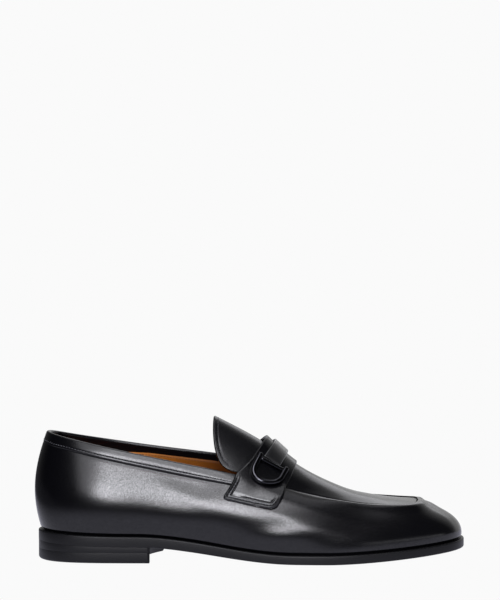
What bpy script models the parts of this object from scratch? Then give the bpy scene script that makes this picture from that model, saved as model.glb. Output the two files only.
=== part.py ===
"""Buckle loafer, right shoe, standing empty on its sole.

The shoe points along +X, its outer (lateral) side is -Y and the floor is z = 0. Sizes are in
millimetres, counted from the rear of the outsole, until add_grid turns them into metres. A place
on the upper is given by stations: 0 is the back seam, 14 is the toe tip, and the rows of SECTIONS
lie between them on both sides.
"""

from collections import namedtuple

import bmesh
import bpy
import numpy as np
from mathutils import Vector

MM = 0.001

# Driving dimensions of last and sole
LENGTH = 302.0
BALL_WIDTH = 98.0
INSTEP_HEIGHT = 84.0
HEEL_HEIGHT = 11.4
HEEL_PITCH = 2.2
TOE_SPRING = 6.8
SOLE_THICKNESS = 7.3
SOLE_EDGE = 2.6
SOLE_BEVEL = 0.9
TREAD_ROUND = 1.0
TREAD_MARGIN = 12.0
TOP_PIECE_HEIGHT = 7.5
TOP_PIECE_BEVEL = 1.6
HEEL_INSET = 0.3
INSOLE_THICKNESS = 2.5
INSOLE_INSET = 2.8
WALL = 2.0
GAP = 0.3

# The tread touches the floor between these two places along the length
ARCH_REAR = 0.232 * LENGTH
BALL_REAR = 0.596 * LENGTH
BALL_FRONT = 0.68 * LENGTH
SPRING_POWER = 1.5
CURL_START = 98.0

# Heel breast: where it meets the two sides (x, y), how hollow it is, and the height of its cutter
BREAST_LATERAL = (79.7, -34.3)
BREAST_MEDIAL = (88.5, 32.3)
BREAST_HOLLOW = 9.0
CUTTER_HEIGHT = 60.0

# Steps in the wall: the folded collar band and the edge of the vamp over the plug
BAND_WIDTH = 7.5
BAND_STEP = 0.6
BAND_EDGE = 0.006
PLUG_STEP = 0.9

# Saddle strap, keeper strap and rings
STRAP_THICKNESS = 2.0
STRAP_CLEARANCE = 0.6
STRAP_LIFT = 3.0
STRAP_CORNER = 4.0
STRAP_MM_PER_SHARE = 63.0
STRAP_MM_PER_STATION = 31.0
KEEPER_THICKNESS = 1.9
RING_RADIUS = 10.2
RING_WIRE = 1.9
RING_ARM = 7.0
BAR_WIRE = 1.4

# Each section goes from the feather edge (x, outward reach on both sides) up to the top edge (x, reach,
# height). x is in percent of LENGTH, reach in percent of BALL_WIDTH, height in percent of INSTEP_HEIGHT.
# flare and shoulder are the wall's outward slopes in degrees at the feather edge and at the top edge.
Section = namedtuple(
    "Section",
    "place foot_x foot_lat foot_med flare top_x top_lat top_med high_lat high_med shoulder",
)
SECTIONS = (
    Section("back seam", 0.95, 0.0, 0.0, 17.5, 2.3, 0.0, 0.0, 107.0, 107.0, 20),
    Section("heel curve", 2.8, 17.3, 17.3, 15, 3.9, 13.1, 13.1, 105.5, 105.3, 16),
    Section("heel corner", 7.3, 27.6, 27.6, 15, 7.9, 21.0, 21.0, 102.4, 101.8, 14),
    Section("counter", 14.9, 32.0, 32.0, 23, 15.6, 26.5, 26.5, 96.3, 96.8, 15),
    Section("quarter", 24.8, 32.9, 30.6, 30, 26.5, 29.4, 28.2, 88.2, 91.0, 14),
    Section("waist", 33.8, 34.2, 29.1, 32, 37.7, 31.2, 29.6, 80.2, 85.8, 19),
    Section("throat", 41.4, 37.2, 30.8, 23, 47.0, 32.2, 30.6, 73.0, 79.3, 36),
    Section("strap front", 52.3, 43.6, 38.8, 14, 58.6, 30.8, 29.6, 61.1, 64.6, 64),
    Section("vamp", 62.9, 48.0, 47.3, 6, 67.5, 28.8, 28.6, 53.6, 55.5, 72),
    Section("ball", 72.5, 47.9, 50.6, 6, 75.2, 26.5, 27.8, 49.0, 50.2, 62),
    Section("toe side", 81.5, 42.6, 46.6, 14, 82.0, 23.9, 26.3, 47.4, 48.1, 52),
    Section("toe wall", 89.4, 33.7, 37.6, 17, 86.6, 19.4, 23.7, 47.2, 47.5, 52),
    Section("toe corner", 95.4, 21.9, 28.6, 15, 88.6, 12.4, 18.4, 47.9, 47.9, 57),
    Section("toe front", 98.4, 8.7, 18.9, 13, 89.1, 3.7, 11.4, 48.4, 48.4, 63),
    Section("toe tip", 99.14, -5.1, 5.1, 14, 89.2, -4.1, 4.1, 48.6, 48.6, 66),
)
TOE = len(SECTIONS) - 1
ROUND = 2 * TOE

# Crest of tongue and plug at the same stations, from the tongue's tip to the toe
Crest = namedtuple("Crest", "station x height")
CRESTS = (
    Crest(5, 41.7, 119.5),
    Crest(6, 52.5, 98.6),
    Crest(7, 60.8, 77.8),
    Crest(8, 68.3, 63.3),
    Crest(9, 74.6, 54.6),
    Crest(10, 79.4, 51.8),
    Crest(11, 82.6, 50.6),
    Crest(12, 84.2, 50.1),
    Crest(13, 84.8, 49.9),
    Crest(14, 85.0, 49.8),
)

# Stations where the heel's layers end before the breast cuts them, and of the pieces over the instep
HEEL_END = 4.75
TONGUE_TIP = 4.97
TONGUE_CORNER = 5.9
TONGUE_END = 6.23
THROAT = 6.25
BAND_FADE = 5.95
BAND_END = 6.15
SEAM_START = 6.8
SEAM_FULL = 7.4
STRAP_BACK = 6.02
STRAP_FRONT = 6.94
STRAP_END_BACK = 5.72
STRAP_END_FRONT = 6.89
KEEPER_MIDDLE = 6.41
KEEPER_HALF = 0.2
RING_MIDDLE = 6.45
RING_TURN = 9.0

# Share of the way from crest (0) to top edge (1) on either side, and past it down the wall
TONGUE_SHARE = 0.955
TONGUE_ROUNDNESS = 2.6
BAR_SHARE = 0.70
RING_SHARE = 0.9
KEEPER_SHARE = 0.648
KEEPER_SLANT = 0.018
STRAP_SHARE = 1.34
STRAP_SLANT = 0.032
STRAP_LAST_ROWS = 0.12
STRAP_SEAT = 0.9
STRAP_TURN = 0.7
BAND_COVER_START = 0.65
BAND_COVER_FULL = 1.0
BAND_COVER_FADE = 1.12
BAND_COVER_END = 1.34
FOLD_START = 6.1
FOLD_FILL = 0.6
FOLD_SPAN = 0.16

# Fullness of the wall above the feather edge and below the top edge, as shares of the section's chord
LOWER_FULLNESS = 0.36
UPPER_FULLNESS = 0.42

STEPS_PER_STATION = 4
SLOPE_STEP = 0.004
SHARP_ANGLE = 40.0

BLACK_CALF = (0.012, 0.012, 0.013)
SOLE_BLACK = (0.02, 0.02, 0.021)
TOP_PIECE_BLACK = (0.015, 0.015, 0.016)
TAN_SOCK = (0.27, 0.11, 0.03)
RING_BLACK = (0.02, 0.02, 0.022)


def smooth(low, high, value):
    """0 below low, 1 above high, and an S curve between."""
    share = np.clip((value - low) / (high - low), 0.0, 1.0)
    return share * share * (3.0 - 2.0 * share)


def cubic(values, closed):
    """A curve that passes rows of values at 0, 1, 2 ... with no break in its bend."""
    values = np.asarray(values, float)
    count = len(values)
    system = 4.0 * np.eye(count) + np.roll(np.eye(count), 1, 0) + np.roll(np.eye(count), -1, 0)
    turn = 6.0 * (np.roll(values, 1, 0) - 2.0 * values + np.roll(values, -1, 0))
    if not closed:
        system[[0, -1]] = np.eye(count)[[0, -1]]
        turn[[0, -1]] = 0.0
    bend = np.linalg.solve(system, turn)

    def at(place):
        place = np.asarray(place, float)
        if closed:
            place = place % count
        first = np.clip(np.floor(place).astype(int), 0, count - (1 if closed else 2))
        second = (first + 1) % count
        far = (place - first)[..., None]
        near = 1.0 - far
        line = near * values[first] + far * values[second]
        return line + ((near**3 - near) * bend[first] + (far**3 - far) * bend[second]) / 6.0

    return at


def section_columns(section, lateral):
    """One side of a section in millimetres and radians: foot x y, flare, top x y z, shoulder."""
    side = -BALL_WIDTH / 100.0 if lateral else BALL_WIDTH / 100.0
    foot = section.foot_lat if lateral else section.foot_med
    top = section.top_lat if lateral else section.top_med
    high = section.high_lat if lateral else section.high_med
    return (
        section.foot_x * LENGTH / 100.0,
        foot * side,
        np.radians(section.flare),
        section.top_x * LENGTH / 100.0,
        top * side,
        high * INSTEP_HEIGHT / 100.0,
        np.radians(section.shoulder),
    )


LAST = cubic(
    [section_columns(section, True) for section in SECTIONS]
    + [section_columns(section, False) for section in SECTIONS[-2:0:-1]],
    closed=True,
)
CREST = cubic(
    [(row.x * LENGTH / 100.0, row.height * INSTEP_HEIGHT / 100.0) for row in CRESTS],
    closed=False,
)


def sole_bottom(x):
    """Height of the tread: heel seat, arch, the flat under the ball and the toe spring."""
    seat = HEEL_HEIGHT * (1.0 - smooth(ARCH_REAR, BALL_REAR, x))
    pitch = HEEL_PITCH * np.clip(1.0 - x / ARCH_REAR, 0.0, None) ** 2
    spring = TOE_SPRING * np.clip((x - BALL_FRONT) / (LENGTH - BALL_FRONT), 0.0, None) ** SPRING_POWER
    return seat + pitch + spring


def sole_top(x):
    return sole_bottom(x) + SOLE_THICKNESS


def plan_outward(around, column):
    """Unit normal, in plan, of the foot (column 0) or top (column 3) outline."""
    step = 0.01
    run = LAST(around + step)[..., column:column + 2] - LAST(around - step)[..., column:column + 2]
    normal = np.stack([run[..., 1], -run[..., 0], np.zeros(run.shape[:-1])], -1)
    return normal / np.linalg.norm(normal, axis=-1, keepdims=True)


def wall(around, height):
    """Outer face of quarters and vamp: around counts stations 0 to 28, height runs 0 to 1 up the wall."""
    around, height = np.broadcast_arrays(np.asarray(around, float), np.asarray(height, float))
    row = LAST(around)
    up = np.array([0.0, 0.0, 1.0])
    foot = np.stack([row[..., 0], row[..., 1], sole_top(row[..., 0]) + GAP], -1)
    top = row[..., 3:6]
    chord = np.linalg.norm(top - foot, axis=-1, keepdims=True)
    flare = row[..., 2:3]
    shoulder = row[..., 6:7]
    lean_low = np.sin(flare) * plan_outward(around, 0) + np.cos(flare) * up
    lean_high = np.sin(shoulder) * plan_outward(around, 3) - np.cos(shoulder) * up
    low = foot + LOWER_FULLNESS * chord * lean_low
    high = top + UPPER_FULLNESS * chord * lean_high
    far = height[..., None]
    near = 1.0 - far
    return near**3 * foot + 3 * near**2 * far * low + 3 * near * far**2 * high + far**3 * top


def arch(station, across):
    """Face of plug and tongue: across is -1 at the lateral top edge, 0 on the crest, 1 at the medial one."""
    station, across = np.broadcast_arrays(np.asarray(station, float), np.asarray(across, float))
    crest = CREST(station - CRESTS[0].station)
    lateral = LAST(station)[..., 3:6]
    medial = LAST(ROUND - station)[..., 3:6]
    edge = np.where(across[..., None] < 0.0, lateral, medial)
    middle = 0.5 * (lateral[..., 1] + medial[..., 1])
    share = np.abs(across)
    x = crest[..., 0] + share**2 * (edge[..., 0] - crest[..., 0])
    y = middle + share * (edge[..., 1] - middle)
    z = crest[..., 1] + share**2 * (edge[..., 2] - crest[..., 1])
    return np.stack([x, y, z], -1)


def over(station, across):
    """The arch, continued past -1 and 1 down the lateral and medial wall."""
    station, across = np.broadcast_arrays(np.asarray(station, float), np.asarray(across, float))
    past = np.abs(across) - 1.0
    around = np.where(across < 0.0, station, ROUND - station)
    side = wall(around, np.clip(1.0 - past, 0.0, 1.0))
    return np.where(past[..., None] > 0.0, side, arch(station, np.clip(across, -1.0, 1.0)))


def raised(face, first, second, height):
    """Points of a face moved out along its normal by a height in millimetres."""
    run = face(first + SLOPE_STEP, second) - face(first - SLOPE_STEP, second)
    rise = face(first, second + SLOPE_STEP) - face(first, second - SLOPE_STEP)
    normal = np.cross(run, rise)
    normal = normal / np.linalg.norm(normal, axis=-1, keepdims=True)
    return face(first, second) + normal * np.asarray(height)[..., None]


def add_grid(mesh, grid):
    """Quads over rows and columns of points in millimetres."""
    rows = [[mesh.verts.new(Vector(point) * MM) for point in row] for row in grid]
    for lower, upper in zip(rows, rows[1:]):
        for corners in zip(lower, lower[1:], upper[1:], upper):
            mesh.faces.new(corners)


def finish_object(name, mesh, material, root):
    """A smooth shaded object of a welded mesh, under the shoe's root."""
    bmesh.ops.remove_doubles(mesh, verts=mesh.verts, dist=1e-6)
    bmesh.ops.recalc_face_normals(mesh, faces=mesh.faces)
    data = bpy.data.meshes.new(name)
    mesh.to_mesh(data)
    mesh.free()
    data.shade_smooth()
    data.set_sharp_from_angle(angle=np.radians(SHARP_ANGLE))
    data.materials.append(material)
    piece = bpy.data.objects.new(name, data)
    bpy.data.collections["loafer"].objects.link(piece)
    piece.parent = root
    return piece


def sheet(name, grids, material, root, thickness, outward):
    """Leather cut from a face: grids of points, thickened to one side."""
    mesh = bmesh.new()
    for grid in grids:
        add_grid(mesh, grid)
    piece = finish_object(name, mesh, material, root)
    shell = piece.modifiers.new("thickness", "SOLIDIFY")
    shell.thickness = thickness * MM
    shell.offset = 1.0 if outward else -1.0
    shell.use_even_offset = True
    return piece


def slab(name, rings, last_station, material, root):
    """A layer of the sole: rings of (outward offset, height along x), closed by strips across the shoe."""
    stations = np.linspace(0.0, last_station, int(round(last_station * STEPS_PER_STATION)) + 1)
    around = np.concatenate([stations, ROUND - stations[::-1]])
    count = len(around)
    mesh = bmesh.new()
    loops = []
    for offset, height in rings:
        plan = LAST(around)[:, :2] + offset * plan_outward(around, 0)[:, :2]
        points = np.column_stack([plan, height(plan[:, 0])])
        loops.append([mesh.verts.new(Vector(point) * MM) for point in points])
    for lower, upper in zip(loops, loops[1:]):
        for here in range(count):
            after = (here + 1) % count
            mesh.faces.new((lower[here], lower[after], upper[after], upper[here]))
    for loop in (loops[0], loops[-1]):
        for here in range(len(stations) - 1):
            mesh.faces.new((loop[here], loop[here + 1], loop[count - 2 - here], loop[count - 1 - here]))
    return finish_object(name, mesh, material, root)


def make_material(name, colour, roughness, metallic=0.0):
    material = bpy.data.materials.new(name)
    material.use_nodes = True
    shader = material.node_tree.nodes["Principled BSDF"]
    shader.inputs["Base Color"].default_value = (*colour, 1.0)
    shader.inputs["Roughness"].default_value = roughness
    shader.inputs["Metallic"].default_value = metallic
    return material


def tread_edge(x):
    """Height of the tread along its edge, which curls up a little in the forefoot."""
    return sole_bottom(x) + TREAD_ROUND * smooth(CURL_START, BALL_REAR, x)


def make_outsole(root):
    rings = (
        (SOLE_EDGE - TREAD_MARGIN, sole_bottom),
        (SOLE_EDGE - SOLE_BEVEL, tread_edge),
        (SOLE_EDGE, lambda x: tread_edge(x) + SOLE_BEVEL),
        (SOLE_EDGE, lambda x: sole_top(x) - SOLE_BEVEL),
        (SOLE_EDGE - SOLE_BEVEL, sole_top),
    )
    slab("outsole", rings, TOE, make_material("sole leather", SOLE_BLACK, 0.4), root)


def make_insole(root):
    rings = (
        (-INSOLE_INSET, lambda x: sole_top(x) + GAP),
        (-INSOLE_INSET, lambda x: sole_top(x) + GAP + INSOLE_THICKNESS),
    )
    slab("insole", rings, TOE, make_material("sock leather", TAN_SOCK, 0.5), root)


def collar_heights(around):
    """Heights of the wall's rows in each column, two of them at the lower edge of the collar band."""
    chord = np.linalg.norm(wall(around, 1.0) - wall(around, 0.0), axis=-1)
    band = 1.0 - BAND_WIDTH / (3.0 * UPPER_FULLNESS * chord)
    even = np.linspace(0.0, 1.0, 9)[:-1]
    rows = [band * share for share in even]
    rows += [band - BAND_EDGE, band + BAND_EDGE, 0.5 * (1.0 + band), np.ones_like(band)]
    return np.column_stack(rows)


def band_relief(station):
    """Height of the collar band, which runs out under the strap."""
    return BAND_STEP * (1.0 - smooth(BAND_FADE, BAND_END, station))


def make_upper(root):
    around = np.arange(0, ROUND * STEPS_PER_STATION + 1) / STEPS_PER_STATION
    heights = collar_heights(around)
    station = np.minimum(around, ROUND - around)[:, None]
    relief = np.zeros(heights.shape)
    relief[:, -3:] = band_relief(station)
    side = raised(wall, around[:, None] + 0.0 * heights, heights, relief)

    rows = np.arange(THROAT, TOE + 0.01, 1.0 / STEPS_PER_STATION)[:, None]
    half = np.array([0.0, 0.2, 0.42, 0.64, 0.84, 0.95, 1.0])
    across = np.concatenate([-half[:0:-1], half])[None, :]
    step = np.interp(np.abs(across), half, (0.0, 0.0, 0.0, 0.3, 0.7, 1.0, 0.0))
    step = PLUG_STEP * step * smooth(SEAM_START, SEAM_FULL, rows)
    plug = arch(rows, across)
    plug[..., 2] -= step
    leather = make_material("black calf", BLACK_CALF, 0.35)
    sheet("upper", (side, plug), leather, root, WALL, outward=False)


def make_tongue(root):
    share = np.sin(np.linspace(-0.5, 0.5, 15) * np.pi)[None, :]
    rounding = 1.0 - (1.0 - np.abs(share) ** TONGUE_ROUNDNESS) ** (1.0 / TONGUE_ROUNDNESS)
    tip = TONGUE_TIP + (TONGUE_CORNER - TONGUE_TIP) * rounding
    along = np.linspace(0.0, 1.0, 11)[:, None]
    station = tip + along * (TONGUE_END - tip)
    flap = arch(station, TONGUE_SHARE * share)
    sheet("tongue", (flap,), make_material("tongue calf", BLACK_CALF, 0.38), root, WALL, outward=False)


def strap_height(station, across):
    """Height of the strap's underside: it stands off the tongue and bridges the fold at the plug's edge."""
    back = np.clip((STRAP_FRONT - station) / (STRAP_FRONT - STRAP_BACK), 0.0, 1.0)
    crest = np.clip(1.0 - (across / STRAP_SEAT) ** 2, 0.0, 1.0)
    past_tongue = smooth(BAND_COVER_START, BAND_COVER_FULL, np.abs(across))
    past_band = smooth(BAND_COVER_FADE, BAND_COVER_END, np.abs(across))
    over_band = BAND_STEP * (1.0 - smooth(BAND_END - 0.1, BAND_END + 0.1, station))
    over_fold = FOLD_FILL * np.clip((station - FOLD_START) / (STRAP_FRONT - FOLD_START), 0.0, 1.0)
    over_fold = over_fold * np.clip(1.0 - np.abs(np.abs(across) - 1.0) / FOLD_SPAN, 0.0, 1.0) ** 2
    over_band = over_band * past_tongue * (1.0 - past_band)
    return STRAP_CLEARANCE + STRAP_LIFT * back**2 * crest + over_band + over_fold


def make_saddle_strap(root):
    corner = np.array([0.0, 0.12, 0.45, 1.0]) * STRAP_CORNER / STRAP_MM_PER_SHARE
    half = np.concatenate([np.linspace(0.0, STRAP_SHARE - STRAP_LAST_ROWS, 12), STRAP_SHARE - corner[::-1]])
    across = np.concatenate([-half[:0:-1], half])[:, None]
    from_end = np.clip((STRAP_SHARE - np.abs(across)) * STRAP_MM_PER_SHARE, 0.0, STRAP_CORNER)
    inset = STRAP_CORNER - np.sqrt(STRAP_CORNER**2 - (STRAP_CORNER - from_end) ** 2)
    inset = inset / STRAP_MM_PER_STATION
    low = smooth(STRAP_TURN, STRAP_SHARE + 0.2, np.abs(across))
    back = STRAP_BACK + (STRAP_END_BACK - STRAP_BACK) * low + inset
    front = STRAP_FRONT + (STRAP_END_FRONT - STRAP_FRONT) * low - inset
    width = np.linspace(0.0, 1.0, 8)[None, :]
    station = back + width * (front - back)
    across = across * (1.0 + STRAP_SLANT * width * smooth(STRAP_TURN, STRAP_SHARE, np.abs(across)))
    strap = raised(over, station, across, strap_height(station, across))
    leather = make_material("strap calf", BLACK_CALF, 0.33)
    sheet("saddle_strap", (strap.swapaxes(0, 1),), leather, root, STRAP_THICKNESS, outward=True)


def make_keeper_strap(root):
    width = np.linspace(-1.0, 1.0, 5)[None, :]
    across = np.linspace(-1.0, 1.0, 17)[:, None] * (KEEPER_SHARE + KEEPER_SLANT * width)
    station = KEEPER_MIDDLE + KEEPER_HALF * width + 0.0 * across
    height = strap_height(station, across) + STRAP_THICKNESS + GAP
    keeper = raised(over, station, across, height)
    leather = make_material("keeper calf", BLACK_CALF, 0.3)
    sheet("keeper_strap", (keeper.swapaxes(0, 1),), leather, root, KEEPER_THICKNESS, outward=True)


def slopes(station, across):
    """How the face runs per station and per share across."""
    run = over(station + SLOPE_STEP, across) - over(station - SLOPE_STEP, across)
    rise = over(station, across + SLOPE_STEP) - over(station, across - SLOPE_STEP)
    return run / (2.0 * SLOPE_STEP), rise / (2.0 * SLOPE_STEP)


def on_strap(side, along, down, wire):
    """Centre of a wire lying on the strap, along the bar and down from it as seen square on to the ring."""
    start = over(RING_MIDDLE, side * BAR_SHARE)
    run, rise = slopes(RING_MIDDLE, side * RING_SHARE)
    level = run / np.linalg.norm(run)
    fall = side * (rise - level * (rise @ level))
    fall = fall / np.linalg.norm(fall)
    turn = np.radians(RING_TURN)
    bar_way = np.cos(turn) * level + np.sin(turn) * fall
    down_way = np.cos(turn) * fall - np.sin(turn) * level
    station = np.full(along.shape, RING_MIDDLE)
    across = np.full(along.shape, side * RING_SHARE)
    for _ in range(12):
        offset = over(station, across) - start
        miss_along = along - offset @ bar_way
        miss_down = down - offset @ down_way
        run, rise = slopes(station, across)
        run_along, run_down = run @ bar_way, run @ down_way
        rise_along, rise_down = rise @ bar_way, rise @ down_way
        area = run_along * rise_down - run_down * rise_along
        station = station + (miss_along * rise_down - miss_down * rise_along) / area
        across = across + (miss_down * run_along - miss_along * run_down) / area
    height = strap_height(station, across) + STRAP_THICKNESS + GAP + wire
    return raised(over, station, across, height)


def wire_object(name, points, wire, material, root):
    """A round wire with filled ends along points in millimetres."""
    curve = bpy.data.curves.new(name, "CURVE")
    curve.dimensions = "3D"
    curve.bevel_depth = wire * MM
    curve.bevel_resolution = 3
    curve.use_fill_caps = True
    spline = curve.splines.new("POLY")
    spline.points.add(len(points) - 1)
    for spot, point in zip(spline.points, points):
        spot.co = (*(Vector(point) * MM), 1.0)
    curve.materials.append(material)
    piece = bpy.data.objects.new(name, curve)
    bpy.data.collections["loafer"].objects.link(piece)
    piece.parent = root


def make_rings(root):
    metal = make_material("black metal", RING_BLACK, 0.15, 1.0)
    turn = np.linspace(0.0, np.pi, 19)
    along = np.concatenate([[RING_RADIUS], RING_RADIUS * np.cos(turn), [-RING_RADIUS]])
    down = np.concatenate([[-RING_WIRE], RING_ARM + RING_RADIUS * np.sin(turn), [-RING_WIRE]])
    reach = RING_RADIUS - RING_WIRE - GAP
    for name, side in (("lateral", -1.0), ("medial", 1.0)):
        wire_object("ring_" + name, on_strap(side, along, down, RING_WIRE), RING_WIRE, metal, root)
        ends = np.array([-reach, reach])
        wire_object("bar_" + name, on_strap(side, ends, np.zeros(2), BAR_WIRE), BAR_WIRE, metal, root)


def breast_cutter(root):
    """An upright cylinder ahead of the heel, whose rear face is the hollow breast."""
    lateral = Vector(BREAST_LATERAL)
    medial = Vector(BREAST_MEDIAL)
    chord = medial - lateral
    radius = ((chord.length / 2) ** 2 + BREAST_HOLLOW**2) / (2 * BREAST_HOLLOW)
    forward = Vector((chord.y, -chord.x)).normalized()
    centre = (lateral + medial) / 2 + forward * (radius - BREAST_HOLLOW)
    mesh = bmesh.new()
    bmesh.ops.create_cone(
        mesh, cap_ends=True, segments=96, radius1=radius * MM, radius2=radius * MM, depth=CUTTER_HEIGHT * MM
    )
    data = bpy.data.meshes.new("heel_breast_cutter")
    mesh.to_mesh(data)
    mesh.free()
    cutter = bpy.data.objects.new("heel_breast_cutter", data)
    cutter.location = (centre.x * MM, centre.y * MM, 0.0)
    cutter.hide_render = True
    cutter.display_type = "WIRE"
    bpy.data.collections["cutters"].objects.link(cutter)
    cutter.parent = root
    return cutter


def make_heel(root):
    cutter = breast_cutter(root)
    edge = SOLE_EDGE - HEEL_INSET
    lift_rings = (
        (edge, lambda x: np.full(x.shape, TOP_PIECE_HEIGHT + GAP)),
        (edge, lambda x: sole_bottom(x) - GAP),
    )
    top_rings = (
        (edge - TOP_PIECE_BEVEL, lambda x: np.zeros(x.shape)),
        (edge, lambda x: np.full(x.shape, TOP_PIECE_BEVEL)),
        (edge, lambda x: np.full(x.shape, TOP_PIECE_HEIGHT)),
    )
    leather = make_material("heel leather", SOLE_BLACK, 0.42)
    rubber = make_material("heel rubber", TOP_PIECE_BLACK, 0.5)
    lift = slab("heel_lift", lift_rings, HEEL_END, leather, root)
    top_piece = slab("heel_top_piece", top_rings, HEEL_END, rubber, root)
    for piece in (lift, top_piece):
        cut = piece.modifiers.new("breast", "BOOLEAN")
        cut.operation = "DIFFERENCE"
        cut.object = cutter


def main():
    for item in list(bpy.data.objects):
        bpy.data.objects.remove(item)
    for name in ("loafer", "cutters"):
        group = bpy.data.collections.new(name)
        bpy.context.scene.collection.children.link(group)

    # The root sits so that the origin is under the middle of the whole shoe
    around = np.linspace(0.0, ROUND, 2801)
    edge = LAST(around)[:, :2] + SOLE_EDGE * plan_outward(around, 0)[:, :2]
    heel = wall(0.0, np.linspace(0.0, 1.0, 201))[:, 0].min()
    root = bpy.data.objects.new("loafer_root", None)
    middle_x = 0.5 * (min(heel, edge[:, 0].min()) + edge[:, 0].max())
    middle_y = 0.5 * (edge[:, 1].min() + edge[:, 1].max())
    root.location = (-middle_x * MM, -middle_y * MM, 0.0)
    bpy.data.collections["loafer"].objects.link(root)

    make_outsole(root)
    make_heel(root)
    make_insole(root)
    make_upper(root)
    make_tongue(root)
    make_saddle_strap(root)
    make_keeper_strap(root)
    make_rings(root)
    bpy.context.view_layer.update()


main()
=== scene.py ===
# %% [markdown]
# # A buckle loafer in black calf
#
# This lesson dresses a packed shoe in leather, thread and metal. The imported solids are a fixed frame:
# they say where every piece is. Each finer piece made below keeps the place and the form of the solid
# that it stands for, and adds what a solid leaves out, such as folded edges, stitches and grain.

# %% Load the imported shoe
from collections import namedtuple

import bmesh
import bpy
import numpy as np
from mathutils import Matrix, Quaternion, Vector


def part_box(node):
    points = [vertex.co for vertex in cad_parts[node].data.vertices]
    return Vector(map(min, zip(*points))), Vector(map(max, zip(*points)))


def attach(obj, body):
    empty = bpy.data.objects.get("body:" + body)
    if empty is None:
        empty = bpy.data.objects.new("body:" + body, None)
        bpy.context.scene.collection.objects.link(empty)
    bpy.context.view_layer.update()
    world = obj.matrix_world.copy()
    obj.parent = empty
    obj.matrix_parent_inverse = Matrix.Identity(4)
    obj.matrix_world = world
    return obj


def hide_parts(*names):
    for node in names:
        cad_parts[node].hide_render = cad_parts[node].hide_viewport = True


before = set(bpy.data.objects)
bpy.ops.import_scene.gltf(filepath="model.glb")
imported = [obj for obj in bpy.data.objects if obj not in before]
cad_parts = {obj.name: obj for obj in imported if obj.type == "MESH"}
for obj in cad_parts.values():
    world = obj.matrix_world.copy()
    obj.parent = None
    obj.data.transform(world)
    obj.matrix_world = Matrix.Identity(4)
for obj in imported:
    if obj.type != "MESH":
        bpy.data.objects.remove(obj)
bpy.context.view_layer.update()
MM = 0.001
print("packed nodes:", ", ".join(sorted(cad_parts)))

# %% [markdown]
# ## The last
#
# A shoemaker pulls the leather over a last, a form with the shape of the foot. The same is done here:
# one short table of sections gives the last, and every leather face is worked out from it. A sculpted
# mesh would do for one picture, but a table keeps edges, seams and stitches on the same surface.
# Sizes are millimetres from the rear of the sole, +X to the toe and -Y to the outer side.

# %% Sections of the last
LENGTH = 302.0
BALL_WIDTH = 98.0
INSTEP_HEIGHT = 84.0

# A section goes from the feather edge (x, outward reach) up to the top edge (x, reach, height). x is in
# percent of LENGTH, reach in percent of BALL_WIDTH, height in percent of INSTEP_HEIGHT; flare and
# shoulder are the wall's outward slopes in degrees at its foot and at its top.
Section = namedtuple(
    "Section",
    "place foot_x foot_lat foot_med flare top_x top_lat top_med high_lat high_med shoulder",
)
SECTIONS = (
    Section("back seam", 0.95, 0.0, 0.0, 17.5, 2.3, 0.0, 0.0, 107.0, 107.0, 20),
    Section("heel curve", 2.8, 17.3, 17.3, 15, 3.9, 13.1, 13.1, 105.5, 105.3, 16),
    Section("heel corner", 7.3, 27.6, 27.6, 15, 7.9, 21.0, 21.0, 102.4, 101.8, 14),
    Section("counter", 14.9, 32.0, 32.0, 23, 15.6, 26.5, 26.5, 96.3, 96.8, 15),
    Section("quarter", 24.8, 32.9, 30.6, 30, 26.5, 29.4, 28.2, 88.2, 91.0, 14),
    Section("waist", 33.8, 34.2, 29.1, 32, 37.7, 31.2, 29.6, 80.2, 85.8, 19),
    Section("throat", 41.4, 37.2, 30.8, 23, 47.0, 32.2, 30.6, 73.0, 79.3, 36),
    Section("strap front", 52.3, 43.6, 38.8, 14, 58.6, 30.8, 29.6, 61.1, 64.6, 64),
    Section("vamp", 62.9, 48.0, 47.3, 6, 67.5, 28.8, 28.6, 53.6, 55.5, 72),
    Section("ball", 72.5, 47.9, 50.6, 6, 75.2, 26.5, 27.8, 49.0, 50.2, 62),
    Section("toe side", 81.5, 42.6, 46.6, 14, 82.0, 23.9, 26.3, 47.4, 48.1, 52),
    Section("toe wall", 89.4, 33.7, 37.6, 17, 86.6, 19.4, 23.7, 47.2, 47.5, 52),
    Section("toe corner", 95.4, 21.9, 28.6, 15, 88.6, 12.4, 18.4, 47.9, 47.9, 57),
    Section("toe front", 98.4, 8.7, 18.9, 13, 89.1, 3.7, 11.4, 48.4, 48.4, 63),
    Section("toe tip", 99.14, -5.1, 5.1, 14, 89.2, -4.1, 4.1, 48.6, 48.6, 66),
)
TOE = len(SECTIONS) - 1
ROUND = 2 * TOE

# Crest of tongue and plug at the same stations, from the tongue's tip to the toe
Crest = namedtuple("Crest", "station x height")
CRESTS = (
    Crest(5, 41.7, 119.5),
    Crest(6, 52.5, 98.6),
    Crest(7, 60.8, 77.8),
    Crest(8, 68.3, 63.3),
    Crest(9, 74.6, 54.6),
    Crest(10, 79.4, 51.8),
    Crest(11, 82.6, 50.6),
    Crest(12, 84.2, 50.1),
    Crest(13, 84.8, 49.9),
    Crest(14, 85.0, 49.8),
)
print("last:", len(SECTIONS), "sections a side,", len(CRESTS), "crests")

# %% [markdown]
# ## Smooth curves through the table
#
# The rows are joined by a cubic curve whose bend has no break, because leather pulled over a last shows
# every break as a kink in its reflection. Straight lofting between the rows would show each of them.


# %% Curves through the rows
def smooth(low, high, value):
    """0 below low, 1 above high, and an S curve between."""
    share = np.clip((value - low) / (high - low), 0.0, 1.0)
    return share * share * (3.0 - 2.0 * share)


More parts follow.
